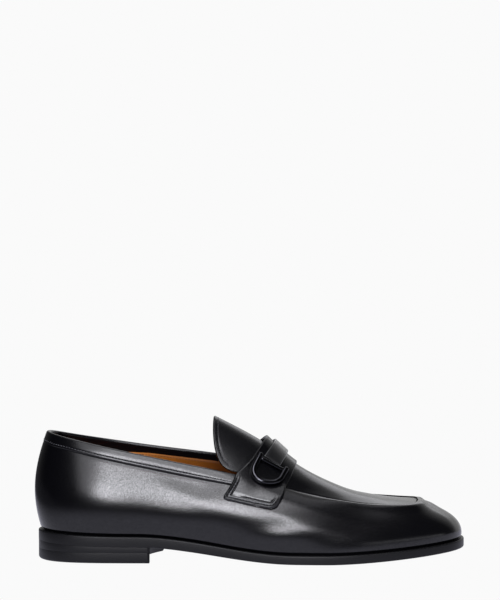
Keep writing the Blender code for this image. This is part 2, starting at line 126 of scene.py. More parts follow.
def cubic(values, closed):
    """A curve that passes rows of values at 0, 1, 2 ... with no break in its bend."""
    values = np.asarray(values, float)
    count = len(values)
    system = 4.0 * np.eye(count) + np.roll(np.eye(count), 1, 0) + np.roll(np.eye(count), -1, 0)
    turn = 6.0 * (np.roll(values, 1, 0) - 2.0 * values + np.roll(values, -1, 0))
    if not closed:
        system[[0, -1]] = np.eye(count)[[0, -1]]
        turn[[0, -1]] = 0.0
    bend = np.linalg.solve(system, turn)

    def at(place):
        place = np.asarray(place, float)
        if closed:
            place = place % count
        first = np.clip(np.floor(place).astype(int), 0, count - (1 if closed else 2))
        second = (first + 1) % count
        far = (place - first)[..., None]
        near = 1.0 - far
        line = near * values[first] + far * values[second]
        return line + ((near**3 - near) * bend[first] + (far**3 - far) * bend[second]) / 6.0

    return at


def section_columns(section, lateral):
    """One side of a section in millimetres and radians: foot x y, flare, top x y z, shoulder."""
    side = -BALL_WIDTH / 100.0 if lateral else BALL_WIDTH / 100.0
    foot = section.foot_lat if lateral else section.foot_med
    top = section.top_lat if lateral else section.top_med
    high = section.high_lat if lateral else section.high_med
    return (
        section.foot_x * LENGTH / 100.0,
        foot * side,
        np.radians(section.flare),
        section.top_x * LENGTH / 100.0,
        top * side,
        high * INSTEP_HEIGHT / 100.0,
        np.radians(section.shoulder),
    )


LAST = cubic(
    [section_columns(section, True) for section in SECTIONS]
    + [section_columns(section, False) for section in SECTIONS[-2:0:-1]],
    closed=True,
)
CREST = cubic(
    [(row.x * LENGTH / 100.0, row.height * INSTEP_HEIGHT / 100.0) for row in CRESTS],
    closed=False,
)
print("ball girth line at x =", round(float(LAST(9.0)[0]), 1), "mm")

# %% [markdown]
# ## Faces of the shoe
#
# Three faces carry everything. The wall climbs from the feather edge, where the upper meets the sole, to
# the top edge. The arch spans the instep and carries plug and tongue. The third continues the arch down
# the wall, so that a strap can lie over both. Each is a function of two numbers, and a point on it is
# moved out along its normal where a piece of leather lies on top.

# %% Sole line, wall, arch and strap faces
HEEL_HEIGHT = 11.4
HEEL_PITCH = 2.2
TOE_SPRING = 6.8
SPRING_POWER = 1.5
SOLE_THICKNESS = 7.3
SOLE_EDGE = 2.6
GAP = 0.3
ARCH_REAR = 0.232 * LENGTH
BALL_REAR = 0.596 * LENGTH
BALL_FRONT = 0.68 * LENGTH
LOWER_FULLNESS = 0.36
UPPER_FULLNESS = 0.42
SLOPE_STEP = 0.004
CREST_STEP = 0.02


def sole_bottom(x):
    """Height of the tread: heel seat, arch, the flat under the ball and the toe spring."""
    seat = HEEL_HEIGHT * (1.0 - smooth(ARCH_REAR, BALL_REAR, x))
    pitch = HEEL_PITCH * np.clip(1.0 - x / ARCH_REAR, 0.0, None) ** 2
    spring = TOE_SPRING * np.clip((x - BALL_FRONT) / (LENGTH - BALL_FRONT), 0.0, None) ** SPRING_POWER
    return seat + pitch + spring


def sole_top(x):
    return sole_bottom(x) + SOLE_THICKNESS


def plan_outward(around, column):
    """Unit normal, in plan, of the foot (column 0) or top (column 3) outline."""
    step = 0.01
    run = LAST(around + step)[..., column:column + 2] - LAST(around - step)[..., column:column + 2]
    normal = np.stack([run[..., 1], -run[..., 0], np.zeros(run.shape[:-1])], -1)
    return normal / np.linalg.norm(normal, axis=-1, keepdims=True)


def wall(around, height):
    """Face of quarters and vamp: around counts stations 0 to 28, height runs 0 to 1 up the wall."""
    around, height = np.broadcast_arrays(np.asarray(around, float), np.asarray(height, float))
    row = LAST(around)
    up = np.array([0.0, 0.0, 1.0])
    foot = np.stack([row[..., 0], row[..., 1], sole_top(row[..., 0]) + GAP], -1)
    top = row[..., 3:6]
    chord = np.linalg.norm(top - foot, axis=-1, keepdims=True)
    flare = row[..., 2:3]
    shoulder = row[..., 6:7]
    lean_low = np.sin(flare) * plan_outward(around, 0) + np.cos(flare) * up
    lean_high = np.sin(shoulder) * plan_outward(around, 3) - np.cos(shoulder) * up
    low = foot + LOWER_FULLNESS * chord * lean_low
    high = top + UPPER_FULLNESS * chord * lean_high
    far = height[..., None]
    near = 1.0 - far
    return near**3 * foot + 3 * near**2 * far * low + 3 * near * far**2 * high + far**3 * top


def arch(station, across):
    """Face of plug and tongue: across runs from -1, the lateral edge, over the crest to 1, the medial."""
    station, across = np.broadcast_arrays(np.asarray(station, float), np.asarray(across, float))
    crest = CREST(station - CRESTS[0].station)
    lateral = LAST(station)[..., 3:6]
    medial = LAST(ROUND - station)[..., 3:6]
    edge = np.where(across[..., None] < 0.0, lateral, medial)
    middle = 0.5 * (lateral[..., 1] + medial[..., 1])
    share = np.abs(across)
    x = crest[..., 0] + share**2 * (edge[..., 0] - crest[..., 0])
    y = middle + share * (edge[..., 1] - middle)
    z = crest[..., 1] + share**2 * (edge[..., 2] - crest[..., 1])
    return np.stack([x, y, z], -1)


def over(station, across):
    """The arch, continued past -1 and 1 down the lateral and medial wall."""
    station, across = np.broadcast_arrays(np.asarray(station, float), np.asarray(across, float))
    past = np.abs(across) - 1.0
    around = np.where(across < 0.0, station, ROUND - station)
    side = wall(around, np.clip(1.0 - past, 0.0, 1.0))
    return np.where(past[..., None] > 0.0, side, arch(station, np.clip(across, -1.0, 1.0)))


def face_normal(face, first, second):
    """Outward unit normal of a face, taken just beside the crest line, where the toe's rows meet."""
    second = np.where(np.abs(second) < CREST_STEP, CREST_STEP, second)
    run = face(first + SLOPE_STEP, second) - face(first - SLOPE_STEP, second)
    rise = face(first, second + SLOPE_STEP) - face(first, second - SLOPE_STEP)
    normal = np.cross(run, rise)
    return normal / np.linalg.norm(normal, axis=-1, keepdims=True)


def raised(face, first, second, height):
    """Points of a face moved out along its normal by a height in millimetres."""
    return face(first, second) + face_normal(face, first, second) * np.asarray(height)[..., None]


outline_places = np.linspace(0.0, ROUND, 2801)
outline = LAST(outline_places)[:, :2] + SOLE_EDGE * plan_outward(outline_places, 0)[:, :2]
sole_low, sole_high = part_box("outsole")
SHIFT = np.array(
    [
        sole_high.x / MM - outline[:, 0].max(),
        0.5 * (sole_low.y + sole_high.y) / MM - 0.5 * (outline[:, 1].min() + outline[:, 1].max()),
        0.0,
    ]
)
print("rear of the sole sits at x, y =", SHIFT[:2].round(2), "mm in the packed frame")

# %% [markdown]
# ## From grids of points to pieces
#
# Every sheet of leather is a grid of points. One function joins grids into a mesh, welds what they share,
# gives it its finish and hides the imported node that the piece stands for.

# %% One function for all grid pieces
WELD = 1e-6


def add_piece(name, grids, material, replaces=(), extra_faces=()):
    """A smooth object from grids of points in millimetres, riding on the shoe."""
    points = []
    faces = []
    start = 0
    for grid in grids:
        rows, columns = grid.shape[:2]
        corner = np.arange(rows * columns).reshape(rows, columns) + start
        quads = np.stack([corner[:-1, :-1], corner[:-1, 1:], corner[1:, 1:], corner[1:, :-1]], -1)
        points.append(((grid + SHIFT) * MM).reshape(-1, 3))
        faces.extend(quads.reshape(-1, 4).tolist())
        start += rows * columns
    faces.extend(extra_faces)
    data = bpy.data.meshes.new(name)
    data.from_pydata(np.concatenate(points).tolist(), [], faces)
    mesh = bmesh.new()
    mesh.from_mesh(data)
    bmesh.ops.remove_doubles(mesh, verts=mesh.verts, dist=WELD)
    bmesh.ops.dissolve_degenerate(mesh, edges=mesh.edges, dist=WELD)
    bmesh.ops.recalc_face_normals(mesh, faces=mesh.faces)
    mesh.to_mesh(data)
    mesh.free()
    data.shade_smooth()
    data.materials.append(material)
    piece = bpy.data.objects.new(name, data)
    bpy.context.scene.collection.objects.link(piece)
    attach(piece, "root")
    if replaces:
        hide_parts(*replaces)
    print(name, len(data.polygons), "faces")
    return piece


print("points closer than", WELD / MM, "mm are welded")

# %% [markdown]
# ## Materials
#
# Each finish starts from the real material. Colours are written as sRGB hex, the way a colour picker
# shows them, and turned to the linear values that a renderer adds up. Patterns take their scale from
# a size in millimetres, so that the grain stays right whatever the size of the picture.

# %% Colour and node helpers
def linear(code):
    """Linear RGBA of an sRGB hex colour."""
    values = np.array([int(code[place:place + 2], 16) for place in (1, 3, 5)]) / 255.0
    bright = ((values + 0.055) / 1.055) ** 2.4
    return (*np.where(values <= 0.04045, values / 12.92, bright).tolist(), 1.0)


def add_node(tree, kind, inputs=None, **settings):
    """One node with its settings; an input is a value or the socket that feeds it."""
    made = tree.nodes.new(kind)
    for key, value in settings.items():
        setattr(made, key, value)
    for socket, value in (inputs or {}).items():
        if isinstance(value, bpy.types.NodeSocket):
            tree.links.new(value, made.inputs[socket])
        else:
            made.inputs[socket].default_value = value
    return made


def per_size(millimetres):
    """Texture scale, in object coordinates, of a pattern with this spacing."""
    return 1.0 / (millimetres * MM)


def new_finish(name):
    """A material with its node tree, its shader and the object's own coordinates."""
    material = bpy.data.materials.new(name)
    material.use_nodes = True
    tree = material.node_tree
    place = add_node(tree, "ShaderNodeTexCoord").outputs["Object"]
    return material, tree, tree.nodes["Principled BSDF"], place


print("a mid grey of #808080 is", round(linear("#808080")[0], 3), "in linear light")

# %% [markdown]
# ### Black calf
#
# The upper is box calf: a smooth, drum-dyed hide with a polished wax finish. It gives the eye a deep
# black with broad, soft highlights, broken into a fine speckle by hair cells that hold less wax than the
# hide between them. So the same noise goes into the bump, the roughness and the strength of reflection.
# Real hair cells are about 0.3 mm wide, less than half a pixel here, so they are drawn coarser, at 1 mm.

# %% Black calf
GRAIN_SIZE = 1.0
HIDE_SIZE = 28.0
POLISH_CHANGE = 0.03
WAX_CHANGE = 0.09


def make_calf(name, colour, worn, roughness, grain_depth):
    """Calf with hair cells as bump, a polish that varies with them and a slow change of tone."""
    calf, tree, shader, place = new_finish(name)
    cells = add_node(
        tree, "ShaderNodeTexVoronoi", {"Vector": place, "Scale": per_size(GRAIN_SIZE)}, feature="F1"
    ).outputs["Distance"]
    pores = add_node(
        tree, "ShaderNodeTexNoise", {"Vector": place, "Scale": per_size(GRAIN_SIZE), "Detail": 2.0}
    ).outputs["Fac"]
    hide = add_node(
        tree, "ShaderNodeTexNoise", {"Vector": place, "Scale": per_size(HIDE_SIZE), "Detail": 2.0}
    ).outputs["Fac"]
    grain = add_node(tree, "ShaderNodeMath", {0: cells, 1: pores}, operation="ADD").outputs[0]
    bump = add_node(
        tree, "ShaderNodeBump", {"Height": grain, "Strength": 1.0, "Distance": grain_depth * MM}
    ).outputs["Normal"]
    tone = add_node(
        tree, "ShaderNodeMix", {"Factor": hide, 6: linear(colour), 7: linear(worn)}, data_type="RGBA"
    ).outputs[2]
    polish = add_node(
        tree,
        "ShaderNodeMapRange",
        {
            "Value": pores,
            "From Min": 0.3,
            "From Max": 0.7,
            "To Min": roughness - POLISH_CHANGE,
            "To Max": roughness + POLISH_CHANGE,
        },
    ).outputs["Result"]
    wax = add_node(
        tree,
        "ShaderNodeMapRange",
        {
            "Value": pores,
            "From Min": 0.3,
            "From Max": 0.7,
            "To Min": 0.5 + WAX_CHANGE,
            "To Max": 0.5 - WAX_CHANGE,
        },
    ).outputs["Result"]
    for socket, source in (
        ("Base Color", tone),
        ("Roughness", polish),
        ("Specular IOR Level", wax),
        ("Normal", bump),
    ):
        tree.links.new(source, shader.inputs[socket])
    shader.inputs["IOR"].default_value = 1.5
    return calf


upper_calf = make_calf("box calf, polished black", "#050507", "#0A0A0D", 0.2, 0.016)
strap_calf = make_calf("box calf, strap", "#050507", "#0A0A0D", 0.2, 0.014)
tongue_calf = make_calf("box calf, tongue", "#0A0A0C", "#101013", 0.24, 0.012)
keeper_calf = make_calf("box calf, keeper", "#0C0C0E", "#141416", 0.32, 0.015)

# A lacquer coat gives the keeper a second layer of soft gloss
keeper_shader = keeper_calf.node_tree.nodes["Principled BSDF"]
keeper_shader.inputs["Coat Weight"].default_value = 1.0
keeper_shader.inputs["Coat Roughness"].default_value = 0.3
print("calf finishes:", [calf.name for calf in (upper_calf, strap_calf, tongue_calf, keeper_calf)])

# %% [markdown]
# ### Tan lining
#
# The lining is vegetable-tanned calf, which gives the eye a warm, matt brown with a faint mottle. Towards
# the instep a second mix along the shoe darkens it: painted shade, for the shade deep inside the shoe.

# %% Tan lining
MOTTLE_SIZE = 9.0
LINING_PORES = 0.9
lining_calf, tree, shader, place = new_finish("lining calf, vegetable tanned")
mottle = add_node(
    tree, "ShaderNodeTexNoise", {"Vector": place, "Scale": per_size(MOTTLE_SIZE), "Detail": 4.0}
).outputs["Fac"]
tan = add_node(
    tree, "ShaderNodeMix", {"Factor": mottle, 6: linear("#9E5A16"), 7: linear("#BE7420")}, data_type="RGBA"
).outputs[2]
along = add_node(tree, "ShaderNodeSeparateXYZ", {"Vector": place}).outputs["X"]
# Painted shade: the tan of lining and sock darkens towards the instep, where the inside of the shoe lies in
# shade
painted_instep_shade = add_node(
    tree, "ShaderNodeMapRange", {"Value": along, "From Min": -0.085, "From Max": -0.02}
).outputs["Result"]
tan = add_node(
    tree, "ShaderNodeMix", {"Factor": painted_instep_shade, 6: tan, 7: linear("#60330C")}, data_type="RGBA"
).outputs[2]
pores = add_node(
    tree, "ShaderNodeTexVoronoi", {"Vector": place, "Scale": per_size(LINING_PORES)}, feature="F1"
).outputs["Distance"]
bump = add_node(
    tree, "ShaderNodeBump", {"Height": pores, "Strength": 1.0, "Distance": 0.04 * MM}
).outputs["Normal"]
tree.links.new(tan, shader.inputs["Base Color"])
tree.links.new(bump, shader.inputs["Normal"])
shader.inputs["Roughness"].default_value = 0.55
shader.inputs["Specular IOR Level"].default_value = 0.2
print("lining finish:", lining_calf.name)

# %% [markdown]
# ### Thread, sole, rubber and metal
#
# The other finishes differ in colour and gloss, but all vary along fine fibres or specks, so one function
# makes them from a dark and a light tone, a roughness, a strength of reflection and a spacing. Real
# fibres are finer than a pixel, so all the spacings are coarser than life.


# %% Thread, sole edge, rubber and plated steel
def make_fibre_finish(name, dark, light, roughness, gloss, spacing, depth):
    """A finish whose tone and surface vary along fine fibres or specks of one spacing."""
    material, tree, shader, place = new_finish(name)
    fibre = add_node(
        tree, "ShaderNodeTexNoise", {"Vector": place, "Scale": per_size(spacing), "Detail": 3.0}
    ).outputs["Fac"]
    tone = add_node(
        tree, "ShaderNodeMix", {"Factor": fibre, 6: linear(dark), 7: linear(light)}, data_type="RGBA"
    ).outputs[2]
    bump = add_node(
        tree, "ShaderNodeBump", {"Height": fibre, "Strength": 1.0, "Distance": depth * MM}
    ).outputs["Normal"]
    tree.links.new(tone, shader.inputs["Base Color"])
    tree.links.new(bump, shader.inputs["Normal"])
    shader.inputs["Roughness"].default_value = roughness
    shader.inputs["Specular IOR Level"].default_value = gloss
    return material


# Painted shade for the plug seam: a matt black rod with no shine at all, only a dark line
seam_shadow_finish = make_fibre_finish("painted seam shadow, matt black", "#020202", "#060606", 0.8, 0.1, 0.8, 0.01)

# Waxed polyester thread: small plump dashes with a slight shine, lighter than the leather around them
black_thread = make_fibre_finish("waxed polyester thread, black", "#1E1E20", "#343437", 0.4, 0.5, 0.5, 0.01)
grey_thread = make_fibre_finish("waxed polyester thread, grey", "#45454A", "#5A5A60", 0.4, 0.5, 0.5, 0.01)
brown_thread = make_fibre_finish("waxed polyester thread, brown", "#4A2810", "#5E3616", 0.5, 0.3, 0.5, 0.01)

# Sole leather, inked and burnished at its edge: satin black, with the ends of its fibres just visible
sole_leather = make_fibre_finish("sole leather, inked edge", "#0C0C0E", "#121214", 0.42, 0.25, 1.8, 0.02)

# Moulded rubber: as black as the sole, but duller
heel_rubber = make_fibre_finish("moulded rubber, black", "#0B0B0D", "#101012", 0.45, 0.25, 1.2, 0.02)

# Steel with a black gloss plating: dark, and nearly all that it shows is reflection
plated_steel = make_fibre_finish("plated steel, black gloss", "#3C3C40", "#444448", 0.14, 0.5, 6.0, 0.004)
plated_steel.node_tree.nodes["Principled BSDF"].inputs["Metallic"].default_value = 1.0
print("hard finishes:", sole_leather.name, "/", heel_rubber.name, "/", plated_steel.name)

# %% [markdown]
# ## Sole, heel and sock
#
# The sole is one layer of leather cut to the outline of the last, its edge rounded and standing a little
# proud of the upper. Under the seat lie the lift and the rubber top piece, whose front, the breast, is
# hollow. Each layer is a stack of rings, one outline offset and raised step by step, so that its rounded
# edges are made by the rings themselves.

# %% Rings of a sole layer
TREAD_ROUND = 1.0
TREAD_MARGIN = 12.0
CURL_START = 98.0
SOLE_ROUND = 0.9
SEAT_ROUND = 0.08
SEAT_MARGIN = 4.0
HEEL_END = 4.3
HEEL_END_REACH = 0.3
STEPS_PER_STATION = 12


def tread_edge(x):
    """Height of the tread along its edge, which curls up a little in the forefoot."""
    return sole_bottom(x) + TREAD_ROUND * smooth(CURL_START, BALL_REAR, x)


def ring_points(around, offset, height):
    """One outline of the shoe, offset in plan and laid on a height that depends on x."""
    plan = LAST(around)[:, :2] + np.asarray(offset)[..., None] * plan_outward(around, 0)[:, :2]
    return np.column_stack([plan, height(plan[:, 0])])


def rounded_rings(outer, low, high, low_radius, high_radius, steps=6):
    """Offsets and heights of an edge whose lower and upper corners are quarter circles."""
    turns = np.linspace(0.0, 0.5 * np.pi, steps)
    rings = []
    for turn in turns:
        rings.append((outer - low_radius * (1.0 - np.sin(turn)), low, low_radius * (1.0 - np.cos(turn))))
    for turn in turns:
        rings.append((outer - high_radius * (1.0 - np.cos(turn)), high, high_radius * (np.sin(turn) - 1.0)))
    return rings


print("sole edge stands", SOLE_EDGE, "mm proud of the feather edge")

# %% [markdown]
# The outsole comes first. Its lower edge is rounded ahead of the heel and nearly sharp above it, where the
# lift is glued on and trimmed flush.

# %% Outsole
stations = np.linspace(0.0, TOE, TOE * STEPS_PER_STATION + 1)
around = np.concatenate([stations, ROUND - stations[::-1]])
rings = [ring_points(around, SOLE_EDGE - TREAD_MARGIN, sole_bottom)]
past_heel = smooth(HEEL_END - HEEL_END_REACH, HEEL_END, np.minimum(around, ROUND - around))
tread_radius = SEAT_ROUND + (SOLE_ROUND - SEAT_ROUND) * past_heel
for offset, height, lift in rounded_rings(SOLE_EDGE, tread_edge, sole_top, tread_radius, SOLE_ROUND):
    rings.append(ring_points(around, offset, lambda x: height(x) + lift))
rings.append(ring_points(around, -SEAT_MARGIN, sole_top))
skirt = np.stack(rings)
half = len(stations)
tread = np.stack([rings[0][:half], rings[0][:half - 1:-1]])
seat = np.stack([rings[-1][:half], rings[-1][:half - 1:-1]])
add_piece("outsole_leather", [skirt, tread, seat], sole_leather, ["outsole"])

# %% [markdown]
# The heel's layers end at the breast, a shallow hollow that runs further forward on the inner side. The
# outline of a layer therefore follows the last on both sides and closes along an arc.

# %% Heel lift and top piece
BREAST_LATERAL = (79.7, -34.3)
BREAST_MEDIAL = (88.5, 32.3)
BREAST_HOLLOW = 9.0
TOP_PIECE_HEIGHT = 7.5
TOP_PIECE_ROUND = 1.8
LAYER_ROUND = 0.12
HEEL_INSET = 0.08
LAYER_GAP = 0.04


def breast_front(y):
    """x of the hollow breast at a place across the heel."""
    share = (y - BREAST_LATERAL[1]) / (BREAST_MEDIAL[1] - BREAST_LATERAL[1])
    chord = BREAST_LATERAL[0] + share * (BREAST_MEDIAL[0] - BREAST_LATERAL[0])
    return chord - 4.0 * BREAST_HOLLOW * share * (1.0 - share)


def heel_outline(offset):
    """Plan of a heel layer: lateral side from the back seam, the breast, and the medial side back."""
    count = 5 * STEPS_PER_STATION
    sides = []
    for turn in (1.0, -1.0):
        places = turn * np.linspace(0.0, 5.0, 601)
        plan = LAST(places)[:, :2] + offset * plan_outward(places, 0)[:, :2]
        last = np.argmax(plan[:, 0] > breast_front(plan[:, 1]))
        places = turn * np.linspace(0.0, abs(places[last]), count)
        sides.append(LAST(places)[:, :2] + offset * plan_outward(places, 0)[:, :2])
    lateral, medial = sides
    y = np.linspace(lateral[-1, 1], medial[-1, 1], 42)[1:-1]
    return np.concatenate([lateral, np.column_stack([breast_front(y), y]), medial[:0:-1]])


def add_heel_layer(name, low, high, low_radius, high_radius, material):
    """A heel layer between two heights, with rounded rims and flat ends."""
    rings = []
    outer = SOLE_EDGE - HEEL_INSET
    for offset, height, lift in rounded_rings(outer, low, high, low_radius, high_radius, 5):
        plan = heel_outline(offset)
        rings.append(np.column_stack([plan, height(plan[:, 0]) + lift]))
    skirt = np.stack([np.concatenate([ring, ring[:1]]) for ring in rings])
    count = skirt.shape[1]
    under = list(range(count - 1))
    top = [(len(rings) - 1) * count + corner for corner in under]
    return add_piece(name + "_layer", [skirt], material, [name], [under, top])


def flat(height):
    return lambda x: np.full(x.shape, height)


add_heel_layer(
    "heel_top_piece",
    flat(0.0),
    flat(TOP_PIECE_HEIGHT),
    TOP_PIECE_ROUND,
    LAYER_ROUND,
    heel_rubber,
)
add_heel_layer(
    "heel_lift",
    flat(TOP_PIECE_HEIGHT + LAYER_GAP),
    lambda x: sole_bottom(x) - LAYER_GAP,
    LAYER_ROUND,
    SEAT_ROUND,
    sole_leather,
)

# %% [markdown]
# The sock is the tan leather that the foot stands on. It lies on the sole inside the upper, with a soft
# rim that rolls down to the feather edge.

# %% Sock
INSOLE_INSET = 2.8
INSOLE_THICKNESS = 2.5
INSOLE_ROUND = 0.8


def sock_top(x):
    return sole_top(x) + GAP + INSOLE_THICKNESS


# Only the rings of the upper corner are used, because the lower edge is hidden
rings = [ring_points(around, -INSOLE_INSET, lambda x: sole_top(x) + GAP)]
for offset, height, lift in rounded_rings(-INSOLE_INSET, sole_top, sock_top, 0.0, INSOLE_ROUND)[6:]:
    rings.append(ring_points(around, offset, lambda x: height(x) + lift))
skirt = np.stack(rings)
base = np.stack([rings[0][:half], rings[0][:half - 1:-1]])
top = np.stack([rings[-1][:half], rings[-1][:half - 1:-1]])
add_piece("sock", [skirt, base, top], lining_calf, ["insole"])

# %% [markdown]
# ## Upper
#
# Quarters, vamp and plug are cut from calf, skived thin, folded and sewn. At the collar the edge is turned
# over into a padded band, sewn down along its lower edge. Around the plug the vamp's edge stands up as a
# lip. Both are drawn here as relief on the wall's own function: a profile across the edge, in millimetres
# from the top edge, with rows of points placed closely where the profile turns.

# %% Places on the wall
def hump(value, middle, width):
    """A soft ridge of height 1."""
    return np.exp(-(((value - middle) / width) ** 2))


def wall_chord(around):
    """Straight distance from the feather edge to the top edge."""
    return np.linalg.norm(wall(around, 1.0) - wall(around, 0.0), axis=-1)


def down_height(around, down):
    """Height on the wall, 0 to 1, of a point this many millimetres down from the top edge."""
    return 1.0 - down / (3.0 * UPPER_FULLNESS * wall_chord(around))


def side_station(around):
    """Station on either side, 0 at the back seam and 14 at the toe tip."""
    return np.minimum(around % ROUND, ROUND - around % ROUND)


print("wall at the quarter:", round(float(wall_chord(4.0)), 1), "mm from feather edge to top edge")

# %% [markdown]
# The collar band is the quarters' own leather, turned over a thin padding. Across it, from the top edge
# down, come the padded back, a shallow trough where the stitches pull, the cut edge and a hollow under it.
# The band is flattest at the back seam, where the leather is stretched most.

# %% Collar band
BAND_WIDTH = 7.8
BAND_STEP = 0.6
BAND_PILLOW = 0.4
BAND_FADE = 5.95
BAND_END = 6.15
BAND_STITCH = 6.4
STITCH_TROUGH = 0.2
STEP_TROUGH = 1.0
BACK_RELIEF = 0.1


def band_relief(station, down):
    """The folded band in profile, weak at the back seam and fading out under the strap."""
    step = BAND_STEP * (1.0 - smooth(BAND_WIDTH - 0.15, BAND_WIDTH + 0.25, down))
    pillow = BAND_PILLOW * np.sin(np.pi * np.clip(down / BAND_WIDTH, 0.0, 1.0))
    trough = STITCH_TROUGH * hump(down, BAND_STITCH, 0.45) + STEP_TROUGH * hump(down, BAND_WIDTH + 0.6, 0.5)
    strength = BACK_RELIEF + (1.0 - BACK_RELIEF) * smooth(0.6, 3.4, station)
    return (step + pillow - trough) * strength * (1.0 - smooth(BAND_FADE, BAND_END, station))


print("collar band:", BAND_WIDTH, "mm wide, sewn", BAND_STITCH, "mm below its top edge")

# %% [markdown]
# A soft-square toe has three kinds of soft edge: one along the plug, one down each corner and a swell ahead
# of the plug. They are about a millimetre high at most, but polished leather shows each in its reflection.

# %% Soft edges of the toe
SHOULDER_RIDGE = 1.2
SHOULDER_DOWN = 3.0
TOE_CORNER = 12.45
TOE_RIDGE = 0.5
CORNER_BEHIND = 1.1
CORNER_AHEAD = 0.33
TOE_SWELL = 0.8
SWELL_DOWN = 9.0
SWELL_WIDTH = 5.5


def toe_relief(station, height, down):
    """Relief of the toe: along the plug, down its corners, and the swell ahead of the plug."""
    along_plug = smooth(7.4, 8.8, station) * (1.0 - smooth(12.6, 13.4, station))
    reach = down / SHOULDER_DOWN
    shoulder = SHOULDER_RIDGE * (reach * np.exp(1.0 - reach)) ** 2 * along_plug
    on_corner = smooth(0.05, 0.25, height) * (1.0 - smooth(0.8, 0.98, height))
    width = np.where(station < TOE_CORNER, CORNER_BEHIND, CORNER_AHEAD)
    corner = TOE_RIDGE * hump(station, TOE_CORNER, width) * on_corner
    swell = TOE_SWELL * hump(down, SWELL_DOWN, SWELL_WIDTH) * smooth(12.8, 13.6, station)
    return shoulder + corner + swell


print("toe corners at station", TOE_CORNER, "of", TOE)

# %% [markdown]
# Leather settles where the foot bends it. Its main folds are placed as soft troughs and ridges in
# the outer quarter and low on the vamp. A noise texture would crease the whole shoe alike.

# %% Soft folds
# A fold goes from (start, rise) to (end, fall), stations and heights; width and depth are millimetres
Fold = namedtuple("Fold", "start rise end fall width depth")
FOLDS = (
    Fold(4.3, 0.84, 5.6, 0.715, 5.0, -0.3),
    Fold(4.3, 0.695, 5.6, 0.57, 5.0, 0.3),
    Fold(6.4, 0.08, 8.3, 0.40, 9.0, 0.8),
    Fold(6.6, 0.40, 7.5, 0.35, 6.0, -0.2),
)
STATION_LENGTH = 27.0
WALL_LENGTH = 54.0


def fold_relief(around, height):
    """Troughs and ridges where the leather has settled, fading out towards both ends."""
    size = np.array([STATION_LENGTH, WALL_LENGTH])
    total = np.zeros(np.broadcast(around, height).shape)
    for fold in FOLDS:
        along = np.array([fold.end - fold.start, fold.fall - fold.rise]) * size
        offset = np.stack(np.broadcast_arrays(around - fold.start, height - fold.rise), -1) * size
        share = offset @ along / (along @ along)
        gap = np.linalg.norm(offset - share[..., None] * along, axis=-1)
        total = total + fold.depth * hump(gap, 0.0, fold.width) * hump(share, 0.5, 0.5)
    return total


print("soft folds:", len(FOLDS))

# %% [markdown]
# All relief is added up in one function, so that wall, collar, lip and stitches agree on where the leather
# lies. At the feather edge the upper is tucked in, which leaves the dark line above the sole.

# %% Relief of the wall
SEAM_START = 6.8
SEAM_FULL = 7.4
LIP_HEIGHT = 0.05
LIP_DOWN = 1.6
LIP_WIDTH = 1.4
FEATHER_TUCK = 1.5
FEATHER_HEIGHT = 2.6


def wall_relief(around, height):
    """How far the outer leather stands off the wall's function, in millimetres."""
    station = side_station(around)
    chord = wall_chord(around)
    down = (1.0 - height) * 3.0 * UPPER_FULLNESS * chord
    up = height * 3.0 * LOWER_FULLNESS * chord
    lip = LIP_HEIGHT * hump(down, LIP_DOWN, LIP_WIDTH) * smooth(SEAM_START, SEAM_FULL, station)
    tuck = FEATHER_TUCK * (1.0 - smooth(0.0, FEATHER_HEIGHT, up))
    edges = band_relief(station, down) + lip - tuck
    return edges + toe_relief(station, height, down) + fold_relief(around, height)


half_way = np.linspace(0.0, ROUND, 200)
print("relief half way up the wall: up to", wall_relief(half_way, 0.5).max().round(2), "mm")

# %% [markdown]
# The rows of the wall are close together at the band and at the feather edge and wide between them. The
# lowest rows turn in under the last, as the margin does that a shoemaker glues to the sole.

# %% Wall
RIM = 1.0
BAND_ROWS = (9.6, 9.2, 8.9, 8.6, 8.35, 8.15, 7.95, 7.8, 7.65, 7.4, 7.1, 6.8, 6.6, 6.4, 6.2, 5.9, 5.5)
RIM_ROWS = (4.8, 4.1, 3.4, 2.6, 1.9, 1.4, RIM)
DOWN_ROWS = BAND_ROWS + RIM_ROWS
UP_ROWS = (0.0, 0.4, 0.8, 1.2, 1.6, 2.0, 2.5, 3.0)
MARGIN_OFFSETS = (-12.0, -6.0, -3.0, -1.9)
MARGIN_LIFT = 0.1
WALL_STEPS = 16


def margin_height(x):
    return sole_top(x) + MARGIN_LIFT


columns = np.arange(0, ROUND * WALL_STEPS + 1)[:, None] / WALL_STEPS
chord = wall_chord(columns)
low_rows = np.array(UP_ROWS)[None, :] / (3.0 * LOWER_FULLNESS * chord)
high_rows = 1.0 - np.array(DOWN_ROWS)[None, :] / (3.0 * UPPER_FULLNESS * chord)
middle = np.linspace(0.0, 1.0, 30)[None, 1:-1]
middle_rows = low_rows[:, -1:] + middle * (high_rows[:, :1] - low_rows[:, -1:])
heights = np.concatenate([low_rows, middle_rows, high_rows], 1)
margin = [ring_points(columns[:, 0], offset, margin_height) for offset in MARGIN_OFFSETS]
outer = raised(wall, columns, heights, wall_relief(columns, heights))
outer = np.concatenate([np.stack(margin, 1), outer], 1)
print("wall:", outer.shape[0], "columns of", outer.shape[1], "points")

# %% [markdown]
# From the heel to the throat the edge is turned over a rim one millimetre in radius and runs down inside as
# a black facing. The roll is half a circle, drawn square to the wall's own edge.

